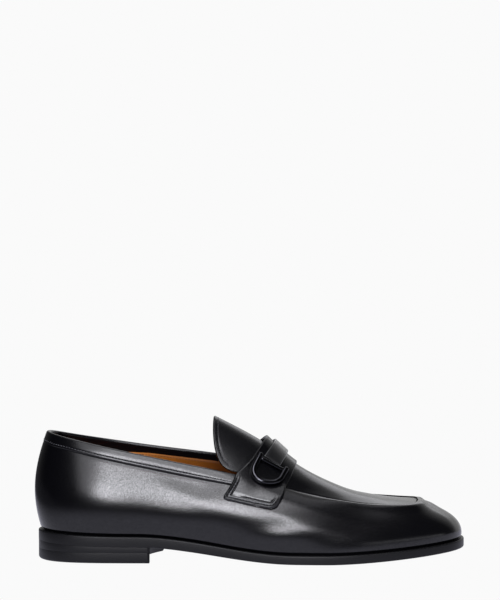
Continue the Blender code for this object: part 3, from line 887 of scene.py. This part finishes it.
# %% Rolled collar
THROAT = 6.25
FACING_ROWS = (1.6, 2.4, 3.4, 4.6, 5.8, 7.2, 8.5)
collar_places = np.arange(-THROAT * WALL_STEPS, THROAT * WALL_STEPS + 1)[:, None] / WALL_STEPS
rim_heights = down_height(collar_places, RIM)
rim_relief = wall_relief(collar_places, rim_heights)
rim_top = raised(wall, collar_places, rim_heights, rim_relief)
rim_out = face_normal(wall, collar_places, rim_heights)
rim_up = wall(collar_places, rim_heights + SLOPE_STEP) - wall(collar_places, rim_heights)
rim_up = rim_up / np.linalg.norm(rim_up, axis=-1, keepdims=True)
turn = np.linspace(0.0, np.pi, 11)[None, :, None]
roll = rim_top - RIM * rim_out + RIM * (np.cos(turn) * rim_out + np.sin(turn) * rim_up)
inside_heights = down_height(collar_places, np.array(FACING_ROWS)[None, :])
facing = raised(wall, collar_places, inside_heights, rim_relief - 2.0 * RIM)
collar = np.concatenate([roll, facing], 1)
print("collar:", collar.shape[0], "columns of", collar.shape[1], "points")

# %% [markdown]
# From the throat to the toe the vamp's edge is not turned in. It runs on over its lip to the plug's seam.

# %% Lip around the plug
lip_places = np.arange(THROAT * WALL_STEPS, (ROUND - THROAT) * WALL_STEPS + 1)[:, None] / WALL_STEPS
lip_heights = down_height(lip_places, np.linspace(RIM, 0.0, 6)[None, :])
lip = raised(wall, lip_places, lip_heights, wall_relief(lip_places, lip_heights))
print("lip:", lip.shape[0], "columns of", lip.shape[1], "points")

# %% [markdown]
# The plug is the leather over the toes, set into the vamp. At its seam it is pulled down into a groove, and
# from there it rises softly to the crest. It shares its border with the lip, so that wall, collar, lip and
# plug weld into one skin. A modifier then lays the thickness of the skived leather on the outside.

# %% Plug inside its seam
SEAM_DEPTH = 0.9
PLUG_SINK = 0.45
PLUG_FLAT = 1.1
EDGE_GAPS = (0.0, 0.006, 0.012, 0.02, 0.03, 0.042, 0.056, 0.075, 0.1, 0.13, 0.17, 0.22)
LEATHER = 0.6


def nearest_gap(points, border):
    """Distance of every point of a grid to the nearest of a row of border points."""
    gaps = []
    for part in np.array_split(points.reshape(-1, 3), 40):
        gaps.append(np.linalg.norm(border[None] - part[:, None], axis=-1).min(1))
    return np.concatenate(gaps).reshape(points.shape[:2])


plug_rows = np.arange(THROAT * WALL_STEPS, TOE * WALL_STEPS + 1)[:, None] / WALL_STEPS
half_shares = np.concatenate([1.0 - np.array(EDGE_GAPS), np.linspace(0.78, 0.0, 22)[1:]])
shares = np.concatenate([-half_shares, half_shares[-2::-1]])[None, :]
border = LAST(np.linspace(THROAT, ROUND - THROAT, 1600))[:, 3:6]
seam_gap = nearest_gap(arch(plug_rows, shares), border)
groove = SEAM_DEPTH * smooth(0.0, 0.7, seam_gap) * (1.0 - smooth(0.7, 1.7, seam_gap))
sink = PLUG_SINK * smooth(0.5, 1.5, seam_gap) * (1.0 - smooth(2.0, 16.0, seam_gap))
flat_toe = PLUG_FLAT * (1.0 - np.abs(shares) ** 3) * smooth(9.2, 10.6, plug_rows)
plug_relief = -(groove + sink) * smooth(SEAM_START, SEAM_FULL, plug_rows) - flat_toe
plug = raised(arch, plug_rows, shares, plug_relief)
lip_edge = lip[:, -1]
plug[:, 0] = lip_edge[:len(plug_rows)]
plug[:, -1] = lip_edge[::-1][:len(plug_rows)]
upper = add_piece("upper_calf", [outer, collar, lip, plug], upper_calf, ["upper"])
shell = upper.modifiers.new("skived thickness", "SOLIDIFY")
shell.thickness = LEATHER * MM
shell.offset = 1.0

# %% [markdown]
# Inside, the tan lining starts under the black facing and runs down to the sock and forward to the toe. It
# is a second skin on the same functions, a little further in and with coarser rows.

# %% Lining
FACING = 5.2
HEEL_FACING = 8.2
LINING_OFFSET = -2.3
LINING_FOOT = 0.03
LINING_STEPS = 8
LINING_THICKNESS = 0.5


def facing_depth(around):
    """How far the black facing runs down inside: deeper around the heel."""
    return HEEL_FACING + (FACING - HEEL_FACING) * smooth(3.0, 4.1, side_station(around))


lining_places = np.arange(0, ROUND * LINING_STEPS + 1)[:, None] / LINING_STEPS
open_top = down_height(lining_places, facing_depth(lining_places))
lining_top = np.where(side_station(lining_places) < THROAT, open_top, 1.0)
lining_heights = LINING_FOOT + np.linspace(0.0, 1.0, 25)[None, :] * (lining_top - LINING_FOOT)
lining_wall = raised(wall, lining_places, lining_heights, LINING_OFFSET)
lining_rows = np.arange(THROAT * LINING_STEPS, TOE * LINING_STEPS + 1)[:, None] / LINING_STEPS
lining_plug = raised(arch, lining_rows, np.linspace(-1.0, 1.0, 25)[None, :], LINING_OFFSET)
lining = add_piece("lining", [lining_wall, lining_plug], lining_calf)
shell = lining.modifiers.new("lining thickness", "SOLIDIFY")
shell.thickness = LINING_THICKNESS * MM
shell.offset = 1.0

# %% [markdown]
# ## Tongue, saddle strap and keeper
#
# These are strips of leather with finished edges. A strip is a grid on the shoe's face with an upper and
# an under side. Both run together at the border along a round profile, so the edge is as soft as burnished
# leather. The distance of each point to the border also places beads and stitch troughs.

# %% Strips with round edges
BEAD_ROWS = (0.0, 0.1, 0.25, 0.45, 0.7, 0.95, 1.2, 1.45, 1.65, 1.82, 1.97, 2.1, 2.23, 2.38, 2.55, 2.8)
TROUGH_ROWS = (3.15, 3.5, 3.7, 3.87, 4.02, 4.15, 4.28, 4.43, 4.6, 4.9)
EDGE_ROWS = BEAD_ROWS + TROUGH_ROWS


def spread(length, middle):
    """Shares 0 to 1 along a strip of this length, close together near both ends."""
    near = np.array(EDGE_ROWS) / length
    return np.concatenate([near, np.linspace(near[-1], 1.0 - near[-1], middle + 2)[1:-1], 1.0 - near[::-1]])


def strip_sides(station, across, under, thickness, relief):
    """Upper and under side of a strip whose underside stands at a height over the shoe's face."""
    middle = raised(over, station, across, under + 0.5 * thickness)
    border = np.concatenate([middle[0], middle[-1], middle[:, 0], middle[:, -1]])
    gap = nearest_gap(middle, border)
    inward = 1.0 - np.clip(gap / (0.5 * thickness), 0.0, 1.0)
    bulge = 0.5 * thickness * np.sqrt(1.0 - inward**2)
    top = raised(over, station, across, under + 0.5 * thickness + bulge + relief(gap) * (1.0 - inward))
    bottom = raised(over, station, across, under + 0.5 * thickness - bulge)
    return top, bottom


print("rows of a strip's edge:", len(EDGE_ROWS), "over", EDGE_ROWS[-1], "mm")

# %% [markdown]
# The tongue is the rear end of the plug, cut round and left free. It stands up behind the strap, and a row
# of stitches in a shallow trough follows its edge. Its outline is a superellipse, rounder than a square
# and fuller than an arc.


# %% Tongue
TONGUE_TIP = 4.97
TONGUE_CORNER = 5.9
TONGUE_END = 6.23
TONGUE_SHARE = 0.955
TONGUE_ROUNDNESS = 2.6
TONGUE_STITCH = 3.3
TONGUE_TROUGH = 0.12
WALL_THICKNESS = 2.0


def tongue_grid(along, share):
    """Stations and shares across of the tongue: along is 0 at its rounded edge and 1 at its root."""
    rounding = 1.0 - (1.0 - np.abs(share) ** TONGUE_ROUNDNESS) ** (1.0 / TONGUE_ROUNDNESS)
    tip = TONGUE_TIP + (TONGUE_CORNER - TONGUE_TIP) * rounding
    return np.broadcast_arrays(tip + along * (TONGUE_END - tip), TONGUE_SHARE * share)


def tongue_relief(gap):
    return -TONGUE_TROUGH * hump(gap, TONGUE_STITCH, 0.45)


sides = np.sin((spread(88.0, 40)[None, :] - 0.5) * np.pi)
station, across = tongue_grid(spread(40.0, 24)[:, None], sides)
tongue_sides = strip_sides(station, across, -WALL_THICKNESS, WALL_THICKNESS, tongue_relief)
add_piece("tongue_calf", tongue_sides, tongue_calf, ["tongue"])

# %% [markdown]
# The saddle strap lies over the instep, stands off the tongue at its back edge and is sewn down at both
# ends. The height of its underside comes first: it clears the tongue, climbs over the collar band and
# bridges the fold between plug and wall, as stiff leather does.

# %% Height of the strap
STRAP_BACK = 6.02
STRAP_FRONT = 6.94
STRAP_THICKNESS = 2.0
STRAP_CLEARANCE = 0.6
STRAP_LIFT = 3.0
STRAP_SEAT = 0.9
BAND_COVER_START = 0.65
BAND_COVER_FULL = 1.0
BAND_COVER_FADE = 1.12
BAND_COVER_END = 1.34
FOLD_START = 6.1
FOLD_FILL = 0.6
FOLD_SPAN = 0.16
FRONT_START = 6.3
FRONT_RISE = 0.8


def strap_height(station, across):
    """Height of the strap's underside over the shoe's face, in millimetres."""
    back = np.clip((STRAP_FRONT - station) / (STRAP_FRONT - STRAP_BACK), 0.0, 1.0)
    crest = np.clip(1.0 - (across / STRAP_SEAT) ** 2, 0.0, 1.0)
    past_tongue = smooth(BAND_COVER_START, BAND_COVER_FULL, np.abs(across))
    past_band = smooth(BAND_COVER_FADE, BAND_COVER_END, np.abs(across))
    over_band = BAND_STEP * (1.0 - smooth(BAND_END - 0.1, BAND_END + 0.5, station))
    over_band = over_band * past_tongue * (1.0 - past_band)
    over_fold = FOLD_FILL * np.clip((station - FOLD_START) / (STRAP_FRONT - FOLD_START), 0.0, 1.0)
    over_fold = over_fold * np.clip(1.0 - np.abs(np.abs(across) - 1.0) / FOLD_SPAN, 0.0, 1.0) ** 2
    front_edge = FRONT_RISE * smooth(FRONT_START, STRAP_FRONT, station) * smooth(0.9, 1.15, np.abs(across))
    return STRAP_CLEARANCE + STRAP_LIFT * back**2 * crest + over_band + over_fold + front_edge


print("strap's back edge stands", round(float(strap_height(STRAP_BACK, 0.0)), 1), "mm over the tongue")

# %% [markdown]
# The strap widens towards its ends, which have small round corners and a lower edge that slants down to the
# front. An inset draws the same outline further in, for the stitches.

# %% Outline of the strap
STRAP_END_BACK = 5.72
STRAP_END_FRONT = 6.89
STRAP_SHARE = 1.34
STRAP_SLANT = 0.032
STRAP_TURN = 0.7
STRAP_CORNER = 4.0
STRAP_MM_PER_SHARE = 63.0
STRAP_MM_PER_STATION = 31.0


def strap_sides(across, inset):
    """Back and front station of the strap, its outline drawn in by an inset in millimetres."""
    end = STRAP_SHARE - inset / STRAP_MM_PER_SHARE
    corner = STRAP_CORNER - 0.6 * inset
    from_end = np.clip((end - np.abs(across)) * STRAP_MM_PER_SHARE, 0.0, corner)
    rounding = corner - np.sqrt(np.clip(corner**2 - (corner - from_end) ** 2, 0.0, None))
    rounding = (rounding + inset) / STRAP_MM_PER_STATION
    low = smooth(STRAP_TURN, STRAP_SHARE + 0.2, np.abs(across))
    back = STRAP_BACK + (STRAP_END_BACK - STRAP_BACK) * low + rounding
    front = STRAP_FRONT + (STRAP_END_FRONT - STRAP_FRONT) * low - rounding
    return back, front


def slanted(across, width):
    """Shares across of the strap, whose lower edge slants down from its back (0) to its front (1)."""
    return across * (1.0 + STRAP_SLANT * width * smooth(STRAP_TURN, STRAP_SHARE, np.abs(across)))


back, front = strap_sides(0.0, 0.0)
print("strap on the crest:", round(float(front - back) * STRAP_MM_PER_STATION, 1), "mm wide")

# %% [markdown]
# Along the sewn part the edge is a raised bead, and one row of stitches runs between two narrow troughs. In
# the middle, where the keeper holds the strap, the edge is plain.

# %% Saddle strap
SEWN_BACK = 1.08
SEWN_FRONT = 1.235
STRAP_STITCH = 3.15
STRAP_TROUGHS = (2.1, 4.15)
BEAD_HEIGHT = 0.5
TROUGH_DEPTH = 0.8

across = ((2.0 * spread(2.0 * STRAP_SHARE * STRAP_MM_PER_SHARE, 90) - 1.0) * STRAP_SHARE)[:, None]
back, front = strap_sides(across, 0.0)
shares = spread(27.0, 14)[None, :]
station = back + shares * (front - back)
across = slanted(across, shares)
sewn = np.where(
    shares > 0.65,
    smooth(SEWN_FRONT - 0.02, SEWN_FRONT + 0.02, np.abs(across)),
    smooth(SEWN_BACK - 0.03, SEWN_BACK + 0.03, np.abs(across)),
)


def strap_relief(gap):
    """Bead along the edge and the troughs on both sides of the stitches, where the strap is sewn."""
    bead = BEAD_HEIGHT * hump(gap, 1.25, 0.5)
    trough = TROUGH_DEPTH * (hump(gap, STRAP_TROUGHS[0], 0.3) + hump(gap, STRAP_TROUGHS[1], 0.3))
    return (bead - trough) * sewn


strap_under = strap_height(station, across)
strap_faces = strip_sides(station, across, strap_under, STRAP_THICKNESS, strap_relief)
add_piece("saddle_strap_calf", strap_faces, strap_calf, ["saddle_strap"])

# %% [markdown]
# The keeper is a narrow band across the strap that carries the bar of a ring at either end. It is the same
# kind of strip, laid on the strap, with a creased line along its edge.

# %% Keeper
KEEPER_THICKNESS = 1.9
KEEPER_MIDDLE = 6.41
KEEPER_HALF = 0.2
KEEPER_SHARE = 0.648
KEEPER_SLANT = 0.018
KEEPER_CREASE = 0.12


def keeper_relief(gap):
    return -KEEPER_CREASE * hump(gap, 1.5, 0.3)


width = 2.0 * spread(12.4, 6)[None, :] - 1.0
across = (2.0 * spread(62.0, 50)[:, None] - 1.0) * (KEEPER_SHARE + KEEPER_SLANT * width)
station = np.broadcast_to(KEEPER_MIDDLE + KEEPER_HALF * width, across.shape)
keeper_under = strap_height(station, across) + STRAP_THICKNESS + GAP
keeper_faces = strip_sides(station, across, keeper_under, KEEPER_THICKNESS, keeper_relief)
add_piece("keeper_calf", keeper_faces, keeper_calf, ["keeper_strap"])

# %% [markdown]
# ## Rings
#
# On each side a plain D-ring hangs on a straight bar that holds the end of the keeper. The wire lies on
# the curved strap, so its path is found on the strap's face, square on to the ring, and a rounded section
# is swept along it. A curve with a round bevel would be quicker, but its section could not be squared.

# %% Places on the strap
RING_RADIUS = 10.2
RING_WIRE = 1.9
RING_ARM = 7.0
BAR_WIRE = 1.4
RING_MIDDLE = 6.45
RING_TURN = 9.0
RING_SHARE = 0.9
BAR_SHARE = 0.70


def slopes(station, across):
    """How the face runs per station and per share across."""
    run = over(station + SLOPE_STEP, across) - over(station - SLOPE_STEP, across)
    rise = over(station, across + SLOPE_STEP) - over(station, across - SLOPE_STEP)
    return run / (2.0 * SLOPE_STEP), rise / (2.0 * SLOPE_STEP)


def on_strap(side, along, down, wire):
    """Centres and normals of a wire on the strap, by distances along the bar and down from it."""
    start = over(RING_MIDDLE, side * BAR_SHARE)
    run, rise = slopes(RING_MIDDLE, side * RING_SHARE)
    level = run / np.linalg.norm(run)
    fall = side * (rise - level * (rise @ level))
    fall = fall / np.linalg.norm(fall)
    turn = np.radians(RING_TURN)
    bar_way = np.cos(turn) * level + np.sin(turn) * fall
    down_way = np.cos(turn) * fall - np.sin(turn) * level
    station = np.full(along.shape, RING_MIDDLE)
    across = np.full(along.shape, side * RING_SHARE)
    # Each pass moves station and share closer to the wanted distances along the bar and down from it
    for attempt in range(12):
        offset = over(station, across) - start
        miss_along = along - offset @ bar_way
        miss_down = down - offset @ down_way
        run, rise = slopes(station, across)
        run_along, run_down = run @ bar_way, run @ down_way
        rise_along, rise_down = rise @ bar_way, rise @ down_way
        area = run_along * rise_down - run_down * rise_along
        station = station + (miss_along * rise_down - miss_down * rise_along) / area
        across = across + (miss_down * run_along - miss_along * run_down) / area
    height = strap_height(station, across) + STRAP_THICKNESS + GAP + wire
    return raised(over, station, across, height), face_normal(over, station, across)


bar_middle, bar_normal = on_strap(-1.0, np.zeros(1), np.zeros(1), BAR_WIRE)
print("outer bar's middle:", bar_middle[0].round(1), "mm from the rear of the sole")

# %% [markdown]
# A rod is a rounded section carried along a path. The section turns with the path and with the face under
# it, and its corners can be squared a little, as on a cast ring.


# %% Rods along a path
END_ROUND = 0.6


def swept(points, normals, half_width, half_height, squareness):
    """Grid of a rod with a rounded section along a path, closed by round ends."""
    way = np.gradient(points, axis=0)
    way = way / np.linalg.norm(way, axis=1, keepdims=True)
    side = np.cross(normals, way)
    side = side / np.linalg.norm(side, axis=1, keepdims=True)
    out = np.cross(way, side)
    turn = np.linspace(0.0, 2.0 * np.pi, 33)
    wide = half_width * np.sign(np.cos(turn)) * np.abs(np.cos(turn)) ** (2.0 / squareness)
    high = half_height * np.sign(np.sin(turn)) * np.abs(np.sin(turn)) ** (2.0 / squareness)
    section = wide[None, :, None] * side[:, None] + high[None, :, None] * out[:, None]
    body = points[:, None] + section
    ends = []
    for place, ahead in ((0, -1.0), (-1, 1.0)):
        lean = np.linspace(0.0, 0.5 * np.pi, 7)[1:, None, None]
        reach = ahead * END_ROUND * half_width * np.sin(lean) * way[place]
        ends.append(points[place] + reach + np.cos(lean) * section[place])
    return np.concatenate([ends[0][::-1], body, ends[1]])


# %% [markdown]
# The ring's path is two straight arms and half a circle. Its points on the strap are smoothed by the nearest
# shallow bowl, because steel doesn't follow each bend of the leather. The bar is straight.

# %% Rings and bars
RING_SQUARENESS = 2.7
turn = np.linspace(0.0, np.pi, 61)
arm = np.linspace(-RING_WIRE, RING_ARM, 10)[:-1]
ring_along = np.concatenate([np.full(9, RING_RADIUS), RING_RADIUS * np.cos(turn), np.full(9, -RING_RADIUS)])
ring_down = np.concatenate([arm, RING_ARM + RING_RADIUS * np.sin(turn), arm[::-1]])
bowl = np.column_stack(
    [ring_along**0, ring_along, ring_down, ring_along**2, ring_along * ring_down, ring_down**2]
)
bar_reach = RING_RADIUS - RING_WIRE - GAP
bar_along = np.linspace(-bar_reach, bar_reach, 12)
for name, side in (("lateral", -1.0), ("medial", 1.0)):
    points, normals = on_strap(side, ring_along, ring_down, RING_WIRE)
    points = bowl @ np.linalg.lstsq(bowl, points, rcond=None)[0]
    ring = swept(points, normals, RING_WIRE, 0.92 * RING_WIRE, RING_SQUARENESS)
    add_piece("ring_" + name + "_steel", [ring], plated_steel, ["ring_" + name])
    points, normals = on_strap(side, bar_along[[0, -1]], np.zeros(2), BAR_WIRE)
    share = np.linspace(0.0, 1.0, 12)[:, None]
    points = points[0] + share * (points[1] - points[0])
    normals = normals[0] + share * (normals[1] - normals[0])
    bar = swept(points, normals, BAR_WIRE, BAR_WIRE, 2.0)
    add_piece("bar_" + name + "_steel", [bar], plated_steel, ["bar_" + name])

# %% [markdown]
# ## Stitches
#
# A lockstitch shows as a row of short, plump lengths of thread that dip into the leather at both ends.
# Each one is a small capsule, and a whole row is joined into one mesh by array arithmetic. Bump could
# draw dashes too, but thread that stands off the leather catches light on its own.

# %% One row of stitches
# Rings of a stitch, by shares of its length and its radius, from one dipping end to the other
StitchRing = namedtuple("StitchRing", "along thick sink")
STITCH_RINGS = (
    StitchRing(-0.5, 0.05, 0.9),
    StitchRing(-0.46, 0.55, 0.6),
    StitchRing(-0.3, 0.95, 0.15),
    StitchRing(0.0, 1.0, 0.0),
    StitchRing(0.3, 0.95, 0.15),
    StitchRing(0.46, 0.55, 0.6),
    StitchRing(0.5, 0.05, 0.9),
)
WAY_STEP = 0.3


def along_path(places, run, values):
    """Rows of three values at places along a path, between its own points."""
    return np.column_stack([np.interp(places, run, values[:, axis]) for axis in range(3)])


def stitch_grids(points, normals, pitch, length, radius):
    """Capsule grids of stitches along a path, one every pitch in millimetres."""
    run = np.concatenate([[0.0], np.cumsum(np.linalg.norm(np.diff(points, axis=0), axis=1))])
    count = int(run[-1] / pitch)
    places = (np.arange(count) + 0.5) * run[-1] / count
    centre = along_path(places, run, points)
    way = along_path(places + WAY_STEP, run, points) - along_path(places - WAY_STEP, run, points)
    way = way / np.linalg.norm(way, axis=1, keepdims=True)
    out = along_path(places, run, normals)
    side = np.cross(out, way)
    side = side / np.linalg.norm(side, axis=1, keepdims=True)
    turn = np.linspace(0.0, 2.0 * np.pi, 9)
    round_section = np.cos(turn)[None, :, None] * side[:, None] + np.sin(turn)[None, :, None] * out[:, None]
    rings = []
    for ring in STITCH_RINGS:
        spine = centre + ring.along * length * way - ring.sink * radius * out
        rings.append(spine[:, None] + ring.thick * radius * round_section)
    return list(np.stack(rings, 1))


print("a stitch has", len(STITCH_RINGS), "rings")

# %% [markdown]
# Around the plug the seam shows as a dark line of shade in the crack between lip and plug, painted as one
# matt black rod on the top edge of the last. Beside the toe, on the outer side, the lip hides it, so it lies
# deeper there.

# %% Painted shade in the plug seam
SEAM_SHADOW_RADIUS = 0.45
SEAM_SHADOW_INWARD = 0.35
SEAM_SHADOW_LIFT = 0.4
SIDE_SINK = 1.0
TIP_SINK = 0.35
seam_line = np.linspace(SEAM_START, ROUND - SEAM_START, 1200)
beside_toe = smooth(9.0, 10.0, seam_line) * (1.0 - smooth(12.2, 12.9, seam_line))
at_tip = hump(seam_line, TOE, 1.0)
seam_path = LAST(seam_line)[:, 3:6] - SEAM_SHADOW_INWARD * plan_outward(seam_line, 3)
seam_path[:, 2] += SEAM_SHADOW_LIFT - SIDE_SINK * beside_toe - TIP_SINK * at_tip
upright = np.tile([0.0, 0.0, 1.0], (len(seam_path), 1))
# The rod is painted shade: a dark line where the crack of the seam lies in shadow
add_piece("plug_seam_shadow", [swept(seam_path, upright, SEAM_SHADOW_RADIUS, SEAM_SHADOW_RADIUS, 2.0)], seam_shadow_finish)

# %% [markdown]
# The collar's stitches lie in the trough of the band, on the outside of the leather's thickness. Their row
# runs from one end of the band around the heel to the other.

# %% Collar stitches
STITCH_LIFT = 0.02
COLLAR_PITCH = 2.2
COLLAR_LENGTH = 1.4
COLLAR_RADIUS = 0.3
collar_line = np.linspace(-BAND_FADE - 0.15, BAND_FADE + 0.15, 900)
row_heights = down_height(collar_line, BAND_STITCH)
row_lift = wall_relief(collar_line, row_heights) + LEATHER + STITCH_LIFT
path = raised(wall, collar_line, row_heights, row_lift)
normals = face_normal(wall, collar_line, row_heights)
rows = stitch_grids(path, normals, COLLAR_PITCH, COLLAR_LENGTH, COLLAR_RADIUS)
add_piece("collar_stitches", rows, grey_thread)

# %% [markdown]
# The tongue's row follows its rounded border at a fixed distance. So the border is walked first, and every
# point is then moved inward, square to the border and along the leather.

# %% Tongue stitches
edge_share = np.sin(np.linspace(-0.5, 0.5, 400) * np.pi)
station, across = tongue_grid(0.0, edge_share * 0.999)
border = raised(over, station, across, 0.0)
border_normal = face_normal(over, station, across)
inward = np.cross(border_normal, np.gradient(border, axis=0))
inward = inward / np.linalg.norm(inward, axis=1, keepdims=True)
middle_of_tongue = over(0.5 * (TONGUE_TIP + TONGUE_END), 0.0)
inward *= np.sign(((middle_of_tongue - border) * inward).sum(1).mean())
path = border + TONGUE_STITCH * inward - TONGUE_TROUGH * border_normal
rows = stitch_grids(path, border_normal, 2.0, 1.5, 0.28)
add_piece("tongue_stitches", rows, black_thread)

# %% [markdown]
# On each side the strap's row starts where the sewn part starts, runs down along the back edge, along the
# lower edge and up along the front edge. Its outline is the strap's own, drawn in by the stitch distance.

# %% Strap stitches
strap_rows = []
for side in (-1.0, 1.0):
    end = STRAP_SHARE - STRAP_STITCH / STRAP_MM_PER_SHARE
    down_back = side * np.linspace(SEWN_BACK, end, 200)
    back, ignored = strap_sides(down_back, STRAP_STITCH)
    up_front = side * np.linspace(end, SEWN_FRONT, 120)
    ignored, front = strap_sides(up_front, STRAP_STITCH)
    station = np.concatenate([back, np.linspace(back[-1], front[0], 120)[1:-1], front])
    width = np.concatenate([np.zeros(200), np.linspace(0.0, 1.0, 120)[1:-1], np.ones(120)])
    across = slanted(np.concatenate([down_back, np.full(118, side * end), up_front]), width)
    path = raised(over, station, across, strap_height(station, across) + STRAP_THICKNESS)
    strap_rows += stitch_grids(path, face_normal(over, station, across), 2.1, 1.45, 0.33)
add_piece("strap_stitches", strap_rows, grey_thread)

# %% [markdown]
# Inside, a row in brown thread runs just below the edge of the black facing and holds the lining. It faces
# the foot, so its normals are turned over.

# %% Lining stitches
FACING_STITCH = 1.3
facing_line = np.linspace(-THROAT + 0.1, THROAT - 0.1, 900)
facing_heights = down_height(facing_line, facing_depth(facing_line) + FACING_STITCH)
path = raised(wall, facing_line, facing_heights, LINING_OFFSET - 0.05)
normals = -face_normal(wall, facing_line, facing_heights)
add_piece("lining_stitches", stitch_grids(path, normals, 2.2, 1.5, 0.3), brown_thread)

# %% [markdown]
# ## Floor, light and camera
#
# The shoe stands on a pale table that glows and fades out towards its front edge and behind the heel.
# Polished leather shows its surroundings: the table becomes the grey foot of the side wall, the dark space
# in front of it a black band, and the softboxes above that space the broad highlights.

# %% Glowing table
FLOOR_FRONT = -0.3
FLOOR_BACK = 3.0
FLOOR_SIDE = 3.0
FLOOR_DROP = 0.0002
floor_mesh = bpy.data.meshes.new("floor")
floor_mesh.from_pydata(
    [
        (-FLOOR_SIDE, FLOOR_FRONT, 0.0),
        (FLOOR_SIDE, FLOOR_FRONT, 0.0),
        (FLOOR_SIDE, FLOOR_BACK, 0.0),
        (-FLOOR_SIDE, FLOOR_BACK, 0.0),
    ],
    [],
    [(0, 1, 2, 3)],
)
floor = bpy.data.objects.new("floor", floor_mesh)
floor.location.z = -FLOOR_DROP
bpy.context.scene.collection.objects.link(floor)
pale, tree, glow, place = new_finish("backlit acrylic table, white")
parts = add_node(tree, "ShaderNodeSeparateXYZ", {"Vector": place}).outputs
to_front = add_node(
    tree,
    "ShaderNodeMapRange",
    {"Value": parts["Y"], "From Min": FLOOR_FRONT, "From Max": -0.1, "To Min": 0.14, "To Max": 0.84},
).outputs["Result"]
to_heel = add_node(
    tree,
    "ShaderNodeMapRange",
    {"Value": parts["X"], "From Min": -0.36, "From Max": -0.2, "To Min": 0.1, "To Max": 1.0},
).outputs["Result"]
fade = add_node(tree, "ShaderNodeMath", {0: to_front, 1: to_heel}, operation="MULTIPLY").outputs[0]
tree.links.new(fade, glow.inputs["Emission Strength"])
glow.inputs["Emission Color"].default_value = linear("#EEEEFF")
glow.inputs["Base Color"].default_value = linear("#000000")
glow.inputs["Specular IOR Level"].default_value = 0.0
floor_mesh.materials.append(pale)
floor.visible_camera = False
print("floor runs from y =", FLOOR_FRONT, "to", FLOOR_BACK, "m")

# %% [markdown]
# The room is bright behind the shoe and dark in front of it, and darker again on the heel's side. The camera
# itself sees plain white, as in a studio where the backdrop has a light of its own.

# %% Room
world = bpy.data.worlds.new("studio")
bpy.context.scene.world = world
world.use_nodes = True
tree = world.node_tree
direction = add_node(tree, "ShaderNodeTexCoord").outputs["Generated"]
parts = add_node(tree, "ShaderNodeSeparateXYZ", {"Vector": direction}).outputs
behind = add_node(
    tree,
    "ShaderNodeMapRange",
    {"Value": parts["Y"], "From Min": 0.2, "From Max": 0.8, "To Min": 0.03, "To Max": 0.7},
).outputs["Result"]
toe_side = add_node(
    tree,
    "ShaderNodeMapRange",
    {"Value": parts["X"], "From Min": -0.4, "From Max": 0.0, "To Min": 0.15, "To Max": 1.0},
).outputs["Result"]
wall_light = add_node(tree, "ShaderNodeMath", {0: behind, 1: toe_side}, operation="MULTIPLY").outputs[0]
seen = add_node(tree, "ShaderNodeLightPath").outputs["Is Camera Ray"]
strength = add_node(
    tree, "ShaderNodeMix", {"Factor": seen, 2: wall_light, 3: 1.0}, data_type="FLOAT"
).outputs[0]
background = tree.nodes["Background"]
background.inputs["Color"].default_value = linear("#FAFAFA")
tree.links.new(strength, background.inputs["Strength"])
print("room: bright behind the shoe, dark in front")

# %% [markdown]
# Seven softboxes light the shoe. Four stand over the camera, the two lowest of them small and strong, for
# the highlights on its side. One hangs overhead, one stands behind and one low on the toe's side, which
# lift the plug, the top edges and the toe out of the black.


# %% Softboxes
LIGHT_DISTANCE = 3.0


def softbox(name, azimuth, elevation, lean, width, height, radiance):
    """An area light aimed at the shoe; azimuth 0 is the camera's side and 90 the toe's side."""
    light = bpy.data.lights.new(name, "AREA")
    light.shape = "RECTANGLE"
    light.size = width
    light.size_y = height
    light.energy = radiance * np.pi * width * height
    light.color = linear("#F9F9FF")[:3]
    lamp = bpy.data.objects.new(name, light)
    turn = np.radians(azimuth)
    rise = np.radians(elevation)
    way = Vector((np.sin(turn) * np.cos(rise), -np.cos(turn) * np.cos(rise), np.sin(rise)))
    target = Vector((0.0, 0.0, 0.05))
    lamp.location = target + way * LIGHT_DISTANCE
    lamp.rotation_mode = "QUATERNION"
    tilt = Quaternion((0.0, 0.0, 1.0), np.radians(-lean))
    lamp.rotation_quaternion = (-way).to_track_quat("-Z", "Y") @ tilt
    bpy.context.scene.collection.objects.link(lamp)
    return lamp


softbox("key low", -13.5, 13.5, 18.0, 0.74, 0.58, 15.0)
softbox("key core", -5.7, 22.0, 14.0, 1.02, 0.58, 11.5)
softbox("key tall", 1.0, 52.0, 17.0, 0.7, 2.5, 4.3)
softbox("key wide", -12.0, 38.0, 12.0, 1.75, 3.3, 2.0)
softbox("overhead", 0.0, 95.0, 0.0, 2.0, 1.9, 1.0)
softbox("back right", 165.0, 33.0, 0.0, 1.5, 1.35, 1.0)
softbox("low right", 50.0, 4.0, 0.0, 3.4, 0.5, 0.8)

# %% [markdown]
# A long lens from a little above the table keeps both ends of the shoe the same size, as in a catalogue
# picture. Colours are shown as they are, with no film curve.

# %% Camera
LENS = 187.08
PITCH = 3.315
camera = bpy.data.objects.new("camera", bpy.data.cameras.new("camera"))
camera.data.lens = LENS
camera.data.sensor_width = 36.0
camera.location = (0.0, -2.2, 0.31)
camera.rotation_euler = (np.radians(90.0 - PITCH), 0.0, 0.0)
camera.data.clip_end = 50.0
bpy.context.scene.collection.objects.link(camera)
bpy.context.scene.camera = camera
bpy.context.scene.view_settings.view_transform = "Standard"
print("camera at", tuple(round(value, 3) for value in camera.location))

# %% [markdown]
# Last, the scene is brought up to date.

# %% Update the scene
bpy.context.view_layer.update()
